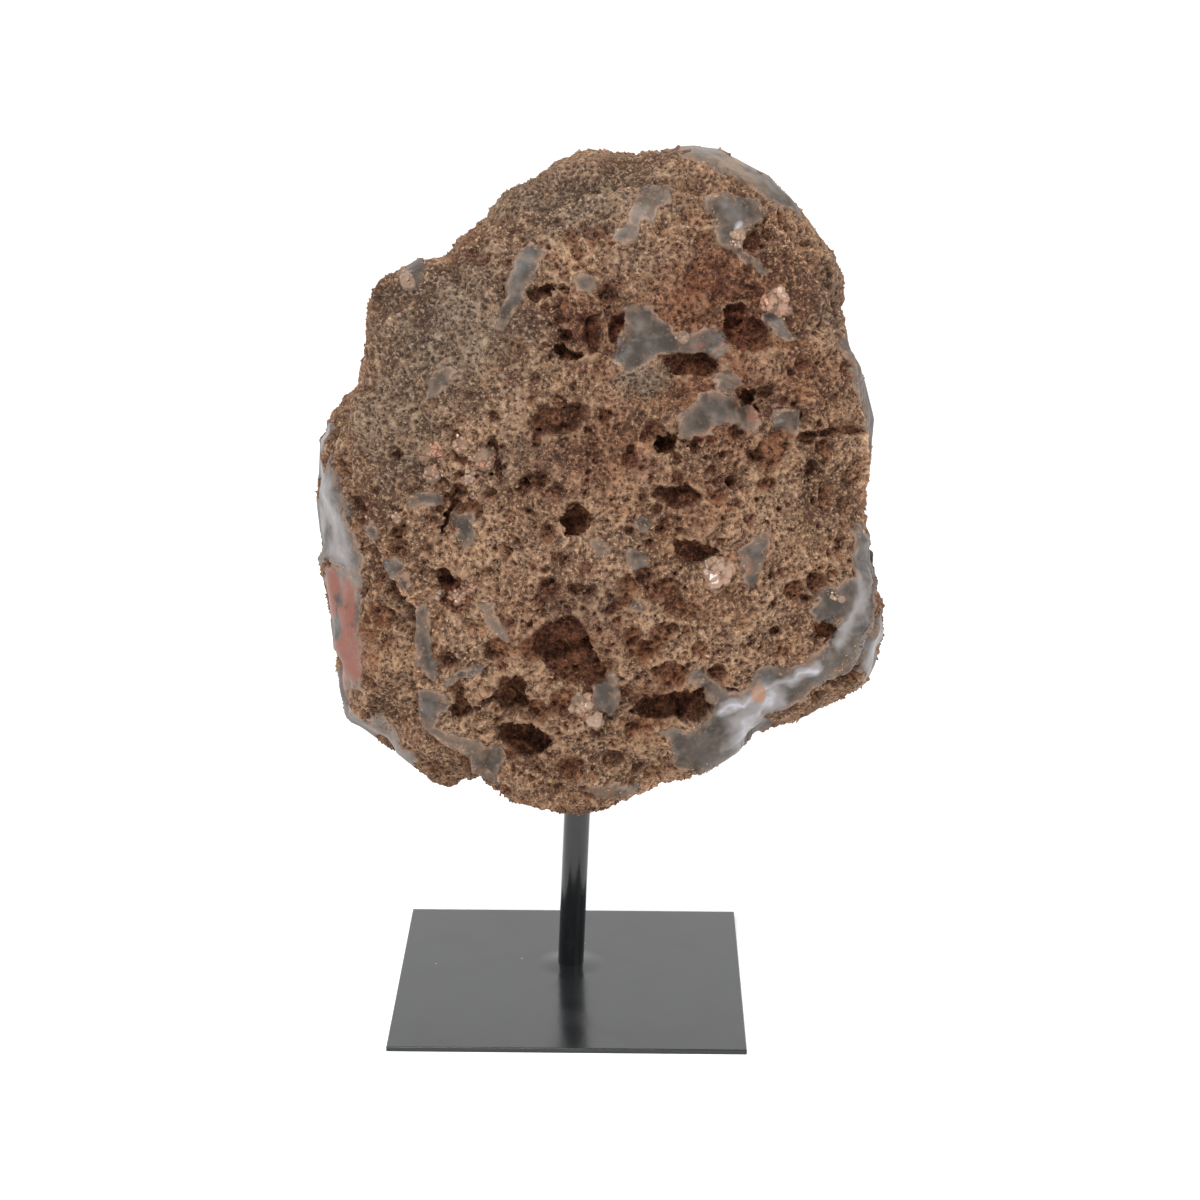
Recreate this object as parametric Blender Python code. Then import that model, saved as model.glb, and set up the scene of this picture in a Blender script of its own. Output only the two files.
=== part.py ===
"""A rough druzy agate held up by a rod on a square steel plate, modelled at its real size.

Metres, +Z up. The origin is the middle of the plate's underside, and the rind side of the stone faces -Y.
The stone is laid out as it is seen by an eye in front of it and a little above. Places on its front are in
picture units: x to the right and y downwards, on a square picture whose middle is at (600, 600).
"""

import math
import random

import bmesh
import bpy
import numpy as np
from mathutils import Vector, noise

MM = 0.001

# Stand
PLATE_SIDE = 105 * MM
PLATE_THICKNESS = 1.5 * MM
PLATE_EDGE_ROUND = 0.25 * MM
MOUND_RADIUS = 11 * MM
MOUND_HEIGHT = 0.8 * MM
MOUND_RINGS = 5
ROD_DIAMETER = 8 * MM
ROD_SET_BACK = 10 * MM
ROD_LEAN = math.radians(2.1)
ROD_LENGTH = 86 * MM
ROD_SINK = 0.5 * MM
ROD_END_ROUND = 0.4 * MM
ROD_SIDES = 32
ROD_HOLE_CUT = 8 * MM
GAP = 0.3 * MM

# Stone: its real width, its middle, the way it leans back, and how far it bulges to the front and the back
STONE_WIDTH = 168.7 * MM
STONE_PLACE = (8.4 * MM, 10 * MM, 156.3 * MM)
STONE_TURN = (math.radians(-16.1), math.radians(-0.3), math.radians(0.5))
EYE_DISTANCE = 827 * MM
UPRIGHTNESS = 0.17
FRONT_BULGE = 44 * MM
BACK_BULGE = 42 * MM
FRONT_FULLNESS = 2.5
BACK_FULLNESS = 3.2
RIM_DETAIL_POWER = 5
RIM_SMOOTHING = 0.28
RIM_SAMPLES = 9
CURVE_STEPS = 6
STONE_CELLS = 56
STONE_FACES = 4700
PICTURE_MIDDLE = (600, 600)
STONE_MIDDLE = (600, 480)

# The stone's silhouette, clockwise from the top
SILHOUETTE = [
    (636, 154), (686, 146), (724, 150), (741, 162), (768, 173), (796, 202), (826, 245), (844, 281),
    (846, 322), (851, 350), (861, 367), (872, 410), (871, 458), (866, 510), (874, 545), (879, 582),
    (884, 618), (884, 640), (877, 670), (867, 684), (840, 700), (801, 720), (759, 731), (740, 749),
    (715, 768), (681, 783), (640, 790), (607, 808), (573, 814), (520, 805), (497, 793), (478, 780),
    (450, 788), (422, 774), (398, 751), (359, 727), (345, 717), (336, 684), (334, 656), (331, 635),
    (333, 622), (323, 595), (318, 560), (320, 539), (316, 500), (318, 455), (323, 425), (345, 390),
    (358, 378), (366, 333), (371, 287), (407, 265), (424, 255), (438, 260), (476, 225), (505, 192),
    (547, 171), (577, 151), (600, 151),
]

# The front lump stands forward of the lower shoulders round it
FRONT_LUMP = [
    (450, 262), (520, 212), (600, 200), (665, 196), (750, 204), (800, 250), (840, 320), (858, 420),
    (860, 540), (856, 600), (836, 668), (790, 706), (745, 738), (680, 772), (600, 782), (540, 790),
    (496, 775), (470, 750), (430, 732), (418, 690), (416, 610), (394, 572), (370, 530), (358, 450),
    (362, 385), (382, 335), (418, 300),
]
FRONT_LUMP_STEP = 3.6 * MM
FRONT_LUMP_SLOPE = 5 * MM
RELIEF_RIM_FADE = 4
SPOT_FLATNESS = 1.3

# Broad swells on the front: middle, half width, half height, and how far out they stand
SWELLS = [
    (455, 360, 110, 120, 3.0 * MM), (640, 560, 150, 120, 2.5 * MM), (720, 185, 70, 40, 1.5 * MM),
    (400, 295, 40, 45, 2.5 * MM), (390, 640, 50, 110, 2.0 * MM), (440, 755, 60, 35, 3.5 * MM),
    (855, 655, 35, 60, 2.0 * MM), (820, 460, 60, 120, 1.5 * MM), (560, 770, 90, 40, 3.5 * MM),
]

# Hollows on the front: middle, half width, half height, and depth
PITS = [
    (580, 522, 24, 24, 5.0 * MM), (572, 657, 48, 38, 4.0 * MM), (524, 737, 34, 25, 4.0 * MM),
    (513, 688, 28, 21, 3.5 * MM), (464, 700, 19, 18, 3.0 * MM), (660, 700, 56, 23, 4.0 * MM),
    (568, 353, 30, 17, 4.0 * MM), (546, 291, 27, 14, 3.5 * MM), (668, 443, 18, 24, 5.5 * MM),
    (746, 398, 26, 26, 5.5 * MM), (738, 318, 38, 36, 5.5 * MM), (610, 330, 22, 42, 4.5 * MM),
    (690, 366, 36, 22, 3.0 * MM), (694, 549, 44, 24, 4.0 * MM), (680, 497, 34, 22, 3.0 * MM),
    (451, 511, 12, 34, 4.5 * MM), (455, 590, 25, 27, 5.0 * MM), (821, 626, 24, 18, 3.0 * MM),
]

# Clumps of small crystals on the front: middle and radius
CRYSTAL_CLUMPS = [(718, 572, 20), (468, 460, 34), (582, 708, 24), (775, 303, 22), (457, 594, 14)]
CLUMP_SPACING = 3.0 * MM
CLUMP_CRYSTAL_RADIUS = 1.9 * MM
CLUMP_CRYSTAL_HEIGHT = 2.0 * MM
CLUMP_SEED = 3

# The druzy hollow on the back: middle to the side and up, radii, and depth
HOLLOW_MIDDLE = (-3 * MM, 4 * MM)
HOLLOW_RADII = (46 * MM, 58 * MM)
HOLLOW_WOBBLE = 0.09
HOLLOW_DEPTH = 7.5 * MM
HOLLOW_SLOPE = 11 * MM
DRUSE_INSET = 4 * MM
DRUSE_SPACING = 6.2 * MM
DRUSE_CRYSTAL_RADIUS = 4.4 * MM
DRUSE_CRYSTAL_HEIGHT = 4.6 * MM
DRUSE_SEED = 5

# A crystal is a six-sided point, rooted in the stone by a share of its height
CRYSTAL_ROOT = 0.4
CRYSTAL_TILT = 0.28
CRYSTAL_SIZES = (0.75, 1.15)

# Lumps of the rough surface, as (size, height), which keep a share of their height at the outline
ROUGHNESS = [(22 * MM, 2.2 * MM), (9 * MM, 1.0 * MM)]
ROUGHNESS_AT_RIM = 0.25
ROUGHNESS_RIM_FADE = 3

RIND_BROWN = (0.20, 0.125, 0.082, 1.0)
STAND_BLACK = (0.012, 0.013, 0.014, 1.0)
RIND_FINISH = 0.85
PAINT_FINISH = 0.25

outline_xs = [x for x, y in SILHOUETTE]
UNIT = STONE_WIDTH / (max(outline_xs) - min(outline_xs))


def clear_scene():
    for thing in list(bpy.data.objects):
        bpy.data.objects.remove(thing)


def make_material(name, colour, roughness):
    material = bpy.data.materials.new(name)
    material.use_nodes = True
    shader = material.node_tree.nodes["Principled BSDF"]
    shader.inputs["Base Color"].default_value = colour
    shader.inputs["Roughness"].default_value = roughness
    shader.inputs["Metallic"].default_value = 0.0
    return material


def add_object(name, bm, material=None):
    mesh = bpy.data.meshes.new(name)
    bm.to_mesh(mesh)
    bm.free()
    thing = bpy.data.objects.new(name, mesh)
    bpy.context.scene.collection.objects.link(thing)
    if material:
        mesh.materials.append(material)
    return thing


def as_guide(thing):
    thing.hide_render = True
    thing.display_type = "WIRE"
    return thing


def add_boolean(thing, other, operation, crossing_pieces=False):
    step = thing.modifiers.new(other.name, "BOOLEAN")
    step.operation = operation
    step.object = other
    step.solver = "EXACT"
    step.use_self = crossing_pieces


def smooth_step(value):
    value = np.clip(value, 0, 1)
    return value * value * (3 - 2 * value)


def closed_curve(points, steps):
    """Points along a smooth closed curve through the given ones."""
    p = np.array(points, float)
    before, after, second = np.roll(p, 1, 0), np.roll(p, -1, 0), np.roll(p, -2, 0)
    run = []
    for t in np.arange(steps) / steps:
        run.append(
            0.5 * (2 * p + (after - before) * t + (2 * before - 5 * p + 4 * after - second) * t**2
                   + (3 * p - before - 3 * after + second) * t**3)
        )
    return np.stack(run, 1).reshape(-1, 2)


def inside_distance(points, outline):
    """How far each point lies inside a closed outline, and less than 0 outside it."""
    nearest = np.full(len(points), np.inf)
    inside = np.zeros(len(points), bool)
    for start, end in zip(outline, np.roll(outline, -1, 0)):
        along, to_point = end - start, points - start
        share = np.clip(to_point @ along / (along @ along), 0, 1)
        nearest = np.minimum(nearest, np.hypot(*(to_point - share[:, None] * along).T))
        if start[1] != end[1]:
            crosses = (start[1] > points[:, 1]) != (end[1] > points[:, 1])
            inside ^= crosses & (to_point[:, 0] < to_point[:, 1] * along[0] / along[1])
    return np.where(inside, nearest, -nearest)


def cell_sphere(cells):
    """A ball of even four-sided cells, as a cube's faces blown out."""
    bm = bmesh.new()
    bmesh.ops.create_cube(bm, size=2)
    bmesh.ops.subdivide_edges(bm, edges=bm.edges[:], cuts=cells - 1, use_grid_fill=True)
    for vert in bm.verts:
        vert.co = Vector([math.tan(c * math.pi / 4) for c in vert.co]).normalized()
    return bm


def silhouette_radius(angle, spread):
    """The silhouette's distance from the stone's middle in each direction, evened out over the given angle."""
    curve = (closed_curve(SILHOUETTE, CURVE_STEPS) - STONE_MIDDLE) * (UNIT, -UNIT)
    at, far = np.arctan2(curve[:, 1], curve[:, 0]), np.hypot(curve[:, 0], curve[:, 1])
    order = np.argsort(at)
    shifts = np.linspace(-spread, spread, RIM_SAMPLES)
    return np.mean([np.interp(angle + s, at[order], far[order], period=2 * math.pi) for s in shifts], 0)


def swollen_outline(ways):
    """A full, rounded body in front of the silhouette and behind it, one point for each direction."""
    round_part, depth_part = np.hypot(ways[:, 0], ways[:, 2]), np.abs(ways[:, 1])
    front = ways[:, 1] < 0
    power = 2 / np.where(front, FRONT_FULLNESS, BACK_FULLNESS)
    reach, angle = round_part**power, np.arctan2(ways[:, 2], ways[:, 0])
    detail = reach**RIM_DETAIL_POWER
    radius = silhouette_radius(angle, 0) * detail + silhouette_radius(angle, RIM_SMOOTHING) * (1 - detail)
    depth = depth_part**power * np.where(front, -FRONT_BULGE, BACK_BULGE)
    return stood_up(np.stack([reach * radius * np.cos(angle), depth, reach * radius * np.sin(angle)], 1))


def stood_up(points):
    """Brings the top forward and takes the foot back along the eye's lines of sight, so the outline stays."""
    depth = points[:, 1] - UPRIGHTNESS * points[:, 2]
    growth = (EYE_DISTANCE + depth) / (EYE_DISTANCE + points[:, 1])
    lift = (PICTURE_MIDDLE[1] - STONE_MIDDLE[1]) * UNIT
    return np.stack([points[:, 0] * growth, depth, (points[:, 2] + lift) * growth - lift], 1)


def seen_at(points):
    """Where the eye sees each of the stone's points, in picture units."""
    unit_there = UNIT * (1 + points[:, 1] / EYE_DISTANCE)
    lift = (PICTURE_MIDDLE[1] - STONE_MIDDLE[1]) * UNIT
    right = PICTURE_MIDDLE[0] + points[:, 0] / unit_there
    down = PICTURE_MIDDLE[1] - (points[:, 2] + lift) / unit_there
    return np.stack([right, down], 1)


def bump(seen, x, y, half_width, half_height):
    """1 at a spot's middle, falling smoothly to 0 at its edge."""
    away = ((seen[:, 0] - x) / half_width) ** 2 + ((seen[:, 1] - y) / half_height) ** 2
    return smooth_step(SPOT_FLATNESS * np.clip(1 - away, 0, 1))


def hollow_depth_inside(points):
    """How far inside the edge of the back hollow each point lies."""
    side, up = points[:, 0] - HOLLOW_MIDDLE[0], points[:, 2] - HOLLOW_MIDDLE[1]
    angle = np.arctan2(up / HOLLOW_RADII[1], side / HOLLOW_RADII[0])
    wobble = 1 + HOLLOW_WOBBLE * (np.sin(2 * angle + 0.6) + 0.6 * np.sin(3 * angle + 2.1))
    from_middle = np.hypot(side / HOLLOW_RADII[0], up / HOLLOW_RADII[1])
    return (wobble - from_middle) * min(HOLLOW_RADII)


def front_relief(points, ways):
    """How far the front surface stands out of the rounded body at each point."""
    seen = seen_at(points)
    lump = inside_distance(seen, closed_curve(FRONT_LUMP, CURVE_STEPS)) * UNIT
    relief = FRONT_LUMP_STEP * smooth_step(0.5 + lump / FRONT_LUMP_SLOPE)
    for x, y, half_width, half_height, height in SWELLS:
        relief += height * bump(seen, x, y, half_width, half_height)
    for x, y, half_width, half_height, depth in PITS:
        relief -= depth * bump(seen, x, y, half_width, half_height)
    return np.where(ways[:, 1] < 0, relief * smooth_step(-RELIEF_RIM_FADE * ways[:, 1]), 0)


def back_relief(points, ways):
    sunk = HOLLOW_DEPTH * smooth_step(hollow_depth_inside(points) / HOLLOW_SLOPE)
    return np.where(ways[:, 1] > 0, -sunk, 0)


def rough_relief(points, ways):
    relief = np.zeros(len(points))
    for size, height in ROUGHNESS:
        relief += [height * noise.noise(Vector(p) / size) for p in points]
    share = ROUGHNESS_AT_RIM + (1 - ROUGHNESS_AT_RIM) * smooth_step(ROUGHNESS_RIM_FADE * np.abs(ways[:, 1]))
    return relief * share


def shape_stone(bm):
    """Moves a ball's vertices onto the stone's surface."""
    ways = np.array([v.co for v in bm.verts])
    points = swollen_outline(ways)
    set_places(bm, points)
    normals = np.array([v.normal for v in bm.verts])
    relief = front_relief(points, ways) + back_relief(points, ways) + rough_relief(points, ways)
    set_places(bm, points + normals * relief[:, None])


def set_places(bm, places):
    for vert, place in zip(bm.verts, places):
        vert.co = place
    bm.normal_update()


def spread_out(choices, spacing, chance):
    """Picks from (place, normal) pairs until no more fit at the spacing."""
    chance.shuffle(choices)
    kept = []
    for place, normal in choices:
        if all((place - other).length > spacing for other, _ in kept):
            kept.append((place, normal))
    return kept


def add_crystal(bm, place, direction, radius, height, turn):
    """A six-sided crystal point, rooted below its place."""
    upright = direction.to_track_quat("Z", "Y")
    root = []
    for k in range(6):
        angle = turn + k * math.pi / 3
        corner = Vector((radius * math.cos(angle), radius * math.sin(angle), -CRYSTAL_ROOT * height))
        root.append(bm.verts.new(place + upright @ corner))
    tip = bm.verts.new(place + upright @ Vector((0, 0, height)))
    bm.faces.new(root[::-1])
    for k in range(6):
        bm.faces.new((root[k], root[(k + 1) % 6], tip))


def grow_crystals(bm, choices, spacing, radius, height, seed):
    chance = random.Random(seed)
    for place, normal in spread_out(choices, spacing, chance):
        size = chance.uniform(*CRYSTAL_SIZES)
        lean = Vector([chance.uniform(-CRYSTAL_TILT, CRYSTAL_TILT) for _ in range(3)])
        add_crystal(bm, place, (normal + lean).normalized(), radius * size, height * size, chance.uniform(0, 1))


def make_crystals(stone_bm):
    """The clumps on the front and the coat of the back hollow, grown from the stone's surface."""
    points = np.array([v.co for v in stone_bm.verts])
    seen = seen_at(points)
    in_clump = np.zeros(len(points), bool)
    for x, y, radius in CRYSTAL_CLUMPS:
        in_clump |= np.hypot(seen[:, 0] - x, seen[:, 1] - y) < radius
    in_clump &= points[:, 1] < 0
    in_hollow = (hollow_depth_inside(points) > DRUSE_INSET) & (points[:, 1] > 0)
    spots = [(v.co.copy(), v.normal.copy()) for v in stone_bm.verts]
    clump_spots = [spot for spot, chosen in zip(spots, in_clump) if chosen]
    hollow_spots = [spot for spot, chosen in zip(spots, in_hollow) if chosen]
    bm = bmesh.new()
    grow_crystals(bm, clump_spots, CLUMP_SPACING, CLUMP_CRYSTAL_RADIUS, CLUMP_CRYSTAL_HEIGHT, CLUMP_SEED)
    grow_crystals(bm, hollow_spots, DRUSE_SPACING, DRUSE_CRYSTAL_RADIUS, DRUSE_CRYSTAL_HEIGHT, DRUSE_SEED)
    return as_guide(add_object("crystals_guide", bm))


def make_rod_shape(name, radius, start, length, material=None):
    """A round bar on the rod's leaning axis, starting at a distance above the plate's top."""
    bm = bmesh.new()
    bmesh.ops.create_cone(bm, segments=ROD_SIDES, radius1=radius, radius2=radius, depth=length, cap_ends=True)
    bmesh.ops.translate(bm, verts=bm.verts, vec=(0, 0, start + length / 2))
    bar = add_object(name, bm, material)
    bar.location = (0, ROD_SET_BACK, PLATE_THICKNESS)
    bar.rotation_euler = (0, ROD_LEAN, 0)
    return bar


def make_rod(material):
    rod = make_rod_shape("stand_rod", ROD_DIAMETER / 2, -ROD_SINK, ROD_LENGTH, material)
    rounding = rod.modifiers.new("rounded_ends", "BEVEL")
    rounding.width = ROD_END_ROUND
    rounding.segments = 2
    rounding.limit_method = "ANGLE"
    rounding.angle_limit = math.radians(60)
    rod.data.shade_smooth()
    rod.data.set_sharp_from_angle(angle=math.radians(40))
    return rod


def make_mound():
    """The low rise that welding left in the plate round the rod's foot."""
    bm = bmesh.new()
    rings = [bm.verts.new((0, 0, PLATE_THICKNESS / 2)), bm.verts.new((MOUND_RADIUS, 0, PLATE_THICKNESS / 2))]
    for step in range(MOUND_RINGS + 1):
        share = 1 - step / MOUND_RINGS
        height = MOUND_HEIGHT * (1 + math.cos(math.pi * share)) / 2
        rings.append(bm.verts.new((MOUND_RADIUS * share, 0, PLATE_THICKNESS + height)))
    edges = [bm.edges.new(pair) for pair in zip(rings, rings[1:])]
    bmesh.ops.spin(bm, geom=rings + edges, cent=(0, 0, 0), axis=(0, 0, 1), angle=2 * math.pi, steps=ROD_SIDES)
    bmesh.ops.remove_doubles(bm, verts=bm.verts[:], dist=1e-6)
    bmesh.ops.recalc_face_normals(bm, faces=bm.faces[:])
    mound = as_guide(add_object("mound_guide", bm))
    mound.location = (0, ROD_SET_BACK, 0)
    return mound


def make_base_plate(material):
    bm = bmesh.new()
    bmesh.ops.create_cube(bm, size=1)
    bmesh.ops.scale(bm, verts=bm.verts, vec=(PLATE_SIDE, PLATE_SIDE, PLATE_THICKNESS))
    bmesh.ops.translate(bm, verts=bm.verts, vec=(0, 0, PLATE_THICKNESS / 2))
    bmesh.ops.bevel(bm, geom=bm.edges[:], offset=PLATE_EDGE_ROUND, segments=2, profile=0.5, affect="EDGES")
    plate = add_object("base_plate", bm, material)
    add_boolean(plate, make_mound(), "UNION")
    hole = make_rod_shape("rod_hole_guide", ROD_DIAMETER / 2 + GAP, -ROD_SINK - GAP, ROD_HOLE_CUT)
    add_boolean(plate, as_guide(hole), "DIFFERENCE")
    return plate


def make_stone(material):
    bm = cell_sphere(STONE_CELLS)
    shape_stone(bm)
    crystals = make_crystals(bm)
    stone = add_object("agate_stone", bm, material)
    for thing in (stone, crystals):
        thing.location = STONE_PLACE
        thing.rotation_euler = STONE_TURN
    coarser = stone.modifiers.new("fewer_faces", "DECIMATE")
    ball_faces = 6 * STONE_CELLS**2 * 2
    coarser.ratio = STONE_FACES / ball_faces
    add_boolean(stone, crystals, "UNION", crossing_pieces=True)
    socket = make_rod_shape("socket_guide", ROD_DIAMETER / 2 + GAP, -ROD_SINK, ROD_LENGTH + GAP)
    add_boolean(stone, as_guide(socket), "DIFFERENCE")
    return stone


def main():
    clear_scene()
    make_base_plate(make_material("plate_black", STAND_BLACK, PAINT_FINISH))
    make_rod(make_material("rod_black", STAND_BLACK, PAINT_FINISH))
    make_stone(make_material("agate_rind", RIND_BROWN, RIND_FINISH))


main()
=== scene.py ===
"""Dresses a rough druzy agate and its rod stand: the stone's rind, chalcedony, crystals and the black paint.

Metres, +Z up. Places on the stone's front are given as the eye sees them, in picture units: x to the right
and y downwards on a square picture 1200 units wide.
"""

import math
import random

import bmesh
import bpy
import numpy as np
from bpy.props import FloatProperty, FloatVectorProperty, IntProperty, PointerProperty
from mathutils import Color, Matrix, Vector
from mathutils.bvhtree import BVHTree


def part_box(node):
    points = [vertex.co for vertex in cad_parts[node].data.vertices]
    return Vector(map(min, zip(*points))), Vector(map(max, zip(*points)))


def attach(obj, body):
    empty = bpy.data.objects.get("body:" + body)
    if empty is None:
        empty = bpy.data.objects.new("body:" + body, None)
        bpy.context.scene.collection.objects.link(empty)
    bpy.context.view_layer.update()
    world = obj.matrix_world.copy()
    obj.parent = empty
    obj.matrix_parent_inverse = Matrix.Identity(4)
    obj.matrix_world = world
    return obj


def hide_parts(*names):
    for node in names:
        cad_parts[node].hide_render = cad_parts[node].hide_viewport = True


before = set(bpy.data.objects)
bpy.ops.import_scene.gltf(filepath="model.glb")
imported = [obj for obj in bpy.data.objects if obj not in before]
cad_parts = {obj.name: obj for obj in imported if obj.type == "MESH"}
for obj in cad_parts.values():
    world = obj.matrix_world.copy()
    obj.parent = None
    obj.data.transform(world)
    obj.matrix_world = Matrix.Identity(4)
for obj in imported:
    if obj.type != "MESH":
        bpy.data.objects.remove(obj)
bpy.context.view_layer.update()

bl_info = {
    "name": "Druzy Agate",
    "version": (1, 0, 0),
    "blender": (4, 5, 0),
    "location": "View3D > Sidebar > Agate",
    "description": "Finishes a rough druzy agate on its rod stand",
    "category": "Object",
}

MM = 0.001
PICTURE_WIDTH = 1200
SENSOR_WIDTH = 36.0

# The eye: where it stands, and how far it looks down, to the side and askew
EYE = (0.0157, -0.7941, 0.3508)
EYE_PITCH = math.radians(16.06)
EYE_YAW = math.radians(-0.51)
EYE_ROLL = math.radians(0.30)

# The stone's middle, in the world and in the picture, and how far its widest outline leans back
STONE_MIDDLE = (8.4 * MM, 10 * MM, 156.3 * MM)
MIDDLE_SEEN = (600, 480)
RIM_LEAN = math.radians(6.4)

# The stone's silhouette, clockwise from the top
SILHOUETTE = [
    (606, 151), (635, 153), (666, 149), (687, 144.5), (722, 148.5), (745, 162.5), (770, 176), (793, 199),
    (812, 224), (833, 252), (846, 281), (844, 302), (850, 346), (862, 369), (874, 417), (871, 468),
    (867, 493), (868, 529), (874, 545), (874, 566), (883, 598), (885, 631), (877, 660), (868, 684),
    (830, 705), (791, 723), (759, 732), (738, 753), (703, 775), (665, 784), (634, 797), (608, 809),
    (581, 815), (549, 812), (510, 801), (489, 786), (480, 780), (463, 785), (449, 788), (432, 782),
    (413, 767), (390, 749), (365, 730), (346, 720), (338, 688), (333.5, 656), (331, 633), (329, 609),
    (322, 576), (317, 560), (321.5, 545), (316, 498), (319, 466), (320, 439), (332, 411), (357, 383),
    (363, 350), (367, 310), (371, 288), (384, 276), (407, 264), (424, 255), (442, 258), (457, 240),
    (482, 218), (503, 192), (526, 181), (554, 161), (587, 149),
]

# The edge of the lump that stands forward of the rest
FRONT_LUMP = [
    (545, 212), (600, 199), (638, 193), (715, 195), (753, 206), (800, 250), (840, 320), (862, 420),
    (866, 500), (873, 572), (868, 622), (852, 661), (811, 694), (765, 716), (738, 750), (690, 774),
    (600, 800), (540, 806), (500, 792), (484, 775), (466, 750), (442, 738), (422, 713), (418, 686),
    (415, 606), (396, 579), (371, 543), (359, 501), (354.5, 430), (357, 382), (371, 346), (392, 323),
    (407, 310), (430, 266), (448, 255), (495, 228),
]

# Smooth grey chalcedony showing through the rind
CHALCEDONY = {
    "upper_streak": [
        (530, 247), (551, 252), (533, 281), (520, 308), (503, 335), (493, 329), (507, 298), (512, 264),
        (520, 252),
    ],
    "upper_left_drop": [(434, 375), (449, 363), (457, 371), (443, 394), (426, 400), (430, 386)],
    "upper_dab": [(572, 276), (588, 270), (598, 276), (597, 290), (584, 296), (573, 290)],
    "top_step": [
        (650, 195), (675, 197), (671, 208), (657, 216), (652, 226), (640, 229), (636, 245), (621, 249),
        (611, 243), (617, 231), (629, 224), (631, 210), (638, 201),
    ],
    "top_hook": [
        (701, 199), (738, 197), (751, 205), (763, 216), (759, 229), (742, 237), (743, 254), (764, 268),
        (764, 277), (742, 268), (732, 254), (719, 250), (713, 243), (713, 229), (707, 216),
    ],
    "top_edge": [
        (667, 140), (710, 138), (750, 152), (782, 172), (806, 212), (782, 210), (764, 203), (753, 193),
        (734, 178), (722, 174), (701, 162), (673, 159),
    ],
    "middle_hook": [
        (619, 309), (641, 303), (652, 306), (658, 318), (678, 333), (702, 327), (713, 328), (731, 344),
        (727, 357), (713, 359), (694, 351), (662, 356), (646, 364), (630, 375), (612, 368), (616, 352),
        (627, 336), (629, 323),
    ],
    "middle_wedge": [
        (678, 416), (700, 397), (716, 392), (734, 394), (747, 407), (760, 422), (758, 434), (745, 436),
        (733, 428), (722, 421), (714, 426), (700, 438), (687, 443), (680, 434),
    ],
    "middle_dab": [(717, 376), (727, 368), (738, 373), (742, 381), (732, 386), (728, 392), (716, 391)],
    "square_window": [(770, 411), (795, 409), (798, 432), (772, 434)],
    "right_ledge": [(766, 318), (772, 306), (780, 308), (790, 330), (800, 342), (784, 340), (766, 326)],
    "right_edge": [
        (828, 342), (860, 330), (884, 380), (886, 478), (864, 472), (866, 440), (862, 415), (845, 382),
        (838, 365),
    ],
    "fish": [(766, 528), (764, 560), (759, 575), (749, 589), (742, 583), (736, 554), (743, 545), (755, 533)],
    "lower_right_band": [
        (852, 526), (868, 528), (878, 545), (876, 564), (868, 602), (866, 621), (854, 652), (830, 675),
        (803, 696), (766, 715), (759, 732), (745, 762), (720, 772), (700, 772), (678, 763), (667, 752),
        (667, 740), (655, 730), (672, 726), (693, 723), (705, 715), (711, 700), (700, 680), (687, 676),
        (687, 667), (698, 664), (722, 684), (734, 690), (745, 686), (751, 673), (763, 661), (787, 661),
        (826, 640), (835, 614), (822, 621), (808, 619), (803, 608), (820, 589), (845, 572), (849, 549),
    ],
    "right_slab": [(882, 618), (896, 640), (886, 680), (865, 684), (857, 674), (861, 655), (868, 637)],
    "left_edge": [
        (310, 440), (329, 445), (336, 468), (342, 493), (348, 522), (359, 545), (360, 568), (358, 650),
        (353, 650), (350, 580), (330, 560), (308, 556),
    ],
    "left_pink_edge": [
        (300, 562), (334, 566), (350, 575), (356, 600), (357, 650), (356, 690), (348, 712), (320, 708),
        (310, 640), (300, 600),
    ],
    "left_strip": [
        (415, 602), (426, 602), (429, 623), (430, 643), (442, 669), (435, 678), (419, 662), (415, 634),
    ],
    "lower_left_sliver": [(444, 677), (460, 666), (479, 662), (487, 667), (472, 675), (453, 679)],
    "lower_left_step": [
        (419, 686), (447, 682), (451, 698), (442, 719), (457, 731), (482, 736), (507, 759), (499, 780),
        (484, 775), (468, 750), (442, 738), (422, 713), (417, 698),
    ],
    "lower_left_edge": [
        (340, 704), (357, 715), (380, 719), (399, 740), (413, 752), (411, 764), (386, 756), (342, 730),
    ],
    "left_notch": [(366, 524), (378, 522), (382, 538), (370, 546)],
    "left_knob": [(383, 558), (395, 554), (405, 561), (403, 570), (393, 579), (386, 570)],
    "left_speck": [(399, 574), (406, 569), (414, 578), (406, 589)],
    "left_bar": [(411, 492), (441, 492), (439, 507), (413, 508)],
    "left_tongue": [(458, 510), (476, 512), (477, 546), (460, 548)],
    "brown_slant": [(478, 602), (497, 602), (515, 638), (504, 638), (490, 627)],
    "lower_dab": [
        (612, 668), (624, 664), (618, 690), (616, 705), (606, 714), (592, 704), (592, 686), (602, 676),
    ],
    "foot_band": [(578, 789), (590, 781), (608, 777), (638, 780), (636, 787), (600, 791)],
}
# Its small round spots: middle and radius
CHALCEDONY_SPOTS = [
    (642, 524, 7), (602, 547, 8), (635, 559, 10), (638, 602, 7), (404, 272, 16), (586, 283, 9),
]

# Bands of bright, milky chalcedony, partly its own milky colour and partly painted highlight where it shines
# (the shine and gleam bands): a line's points, its half width and how milky it is
MILKY_AND_SHINE_LINES = {
    "lower_right_shine": ([(722, 707), (760, 690), (787, 677), (808, 663)], 9, 0.85),
    "lower_right_gleam": ([(738, 738), (752, 714), (774, 692)], 22, 0.85),
    "right_gleam": ([(849, 572), (851, 596), (846, 618), (838, 640)], 10, 0.65),
    "left_band": ([(317, 450), (324, 500), (338, 540), (352, 590)], 17, 0.72),
    "right_slab_edge": ([(882, 634), (876, 655), (868, 680)], 14, 0.7),
    "top_crystal": ([(735, 232), (737, 248)], 6, 1.0),
}

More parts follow.
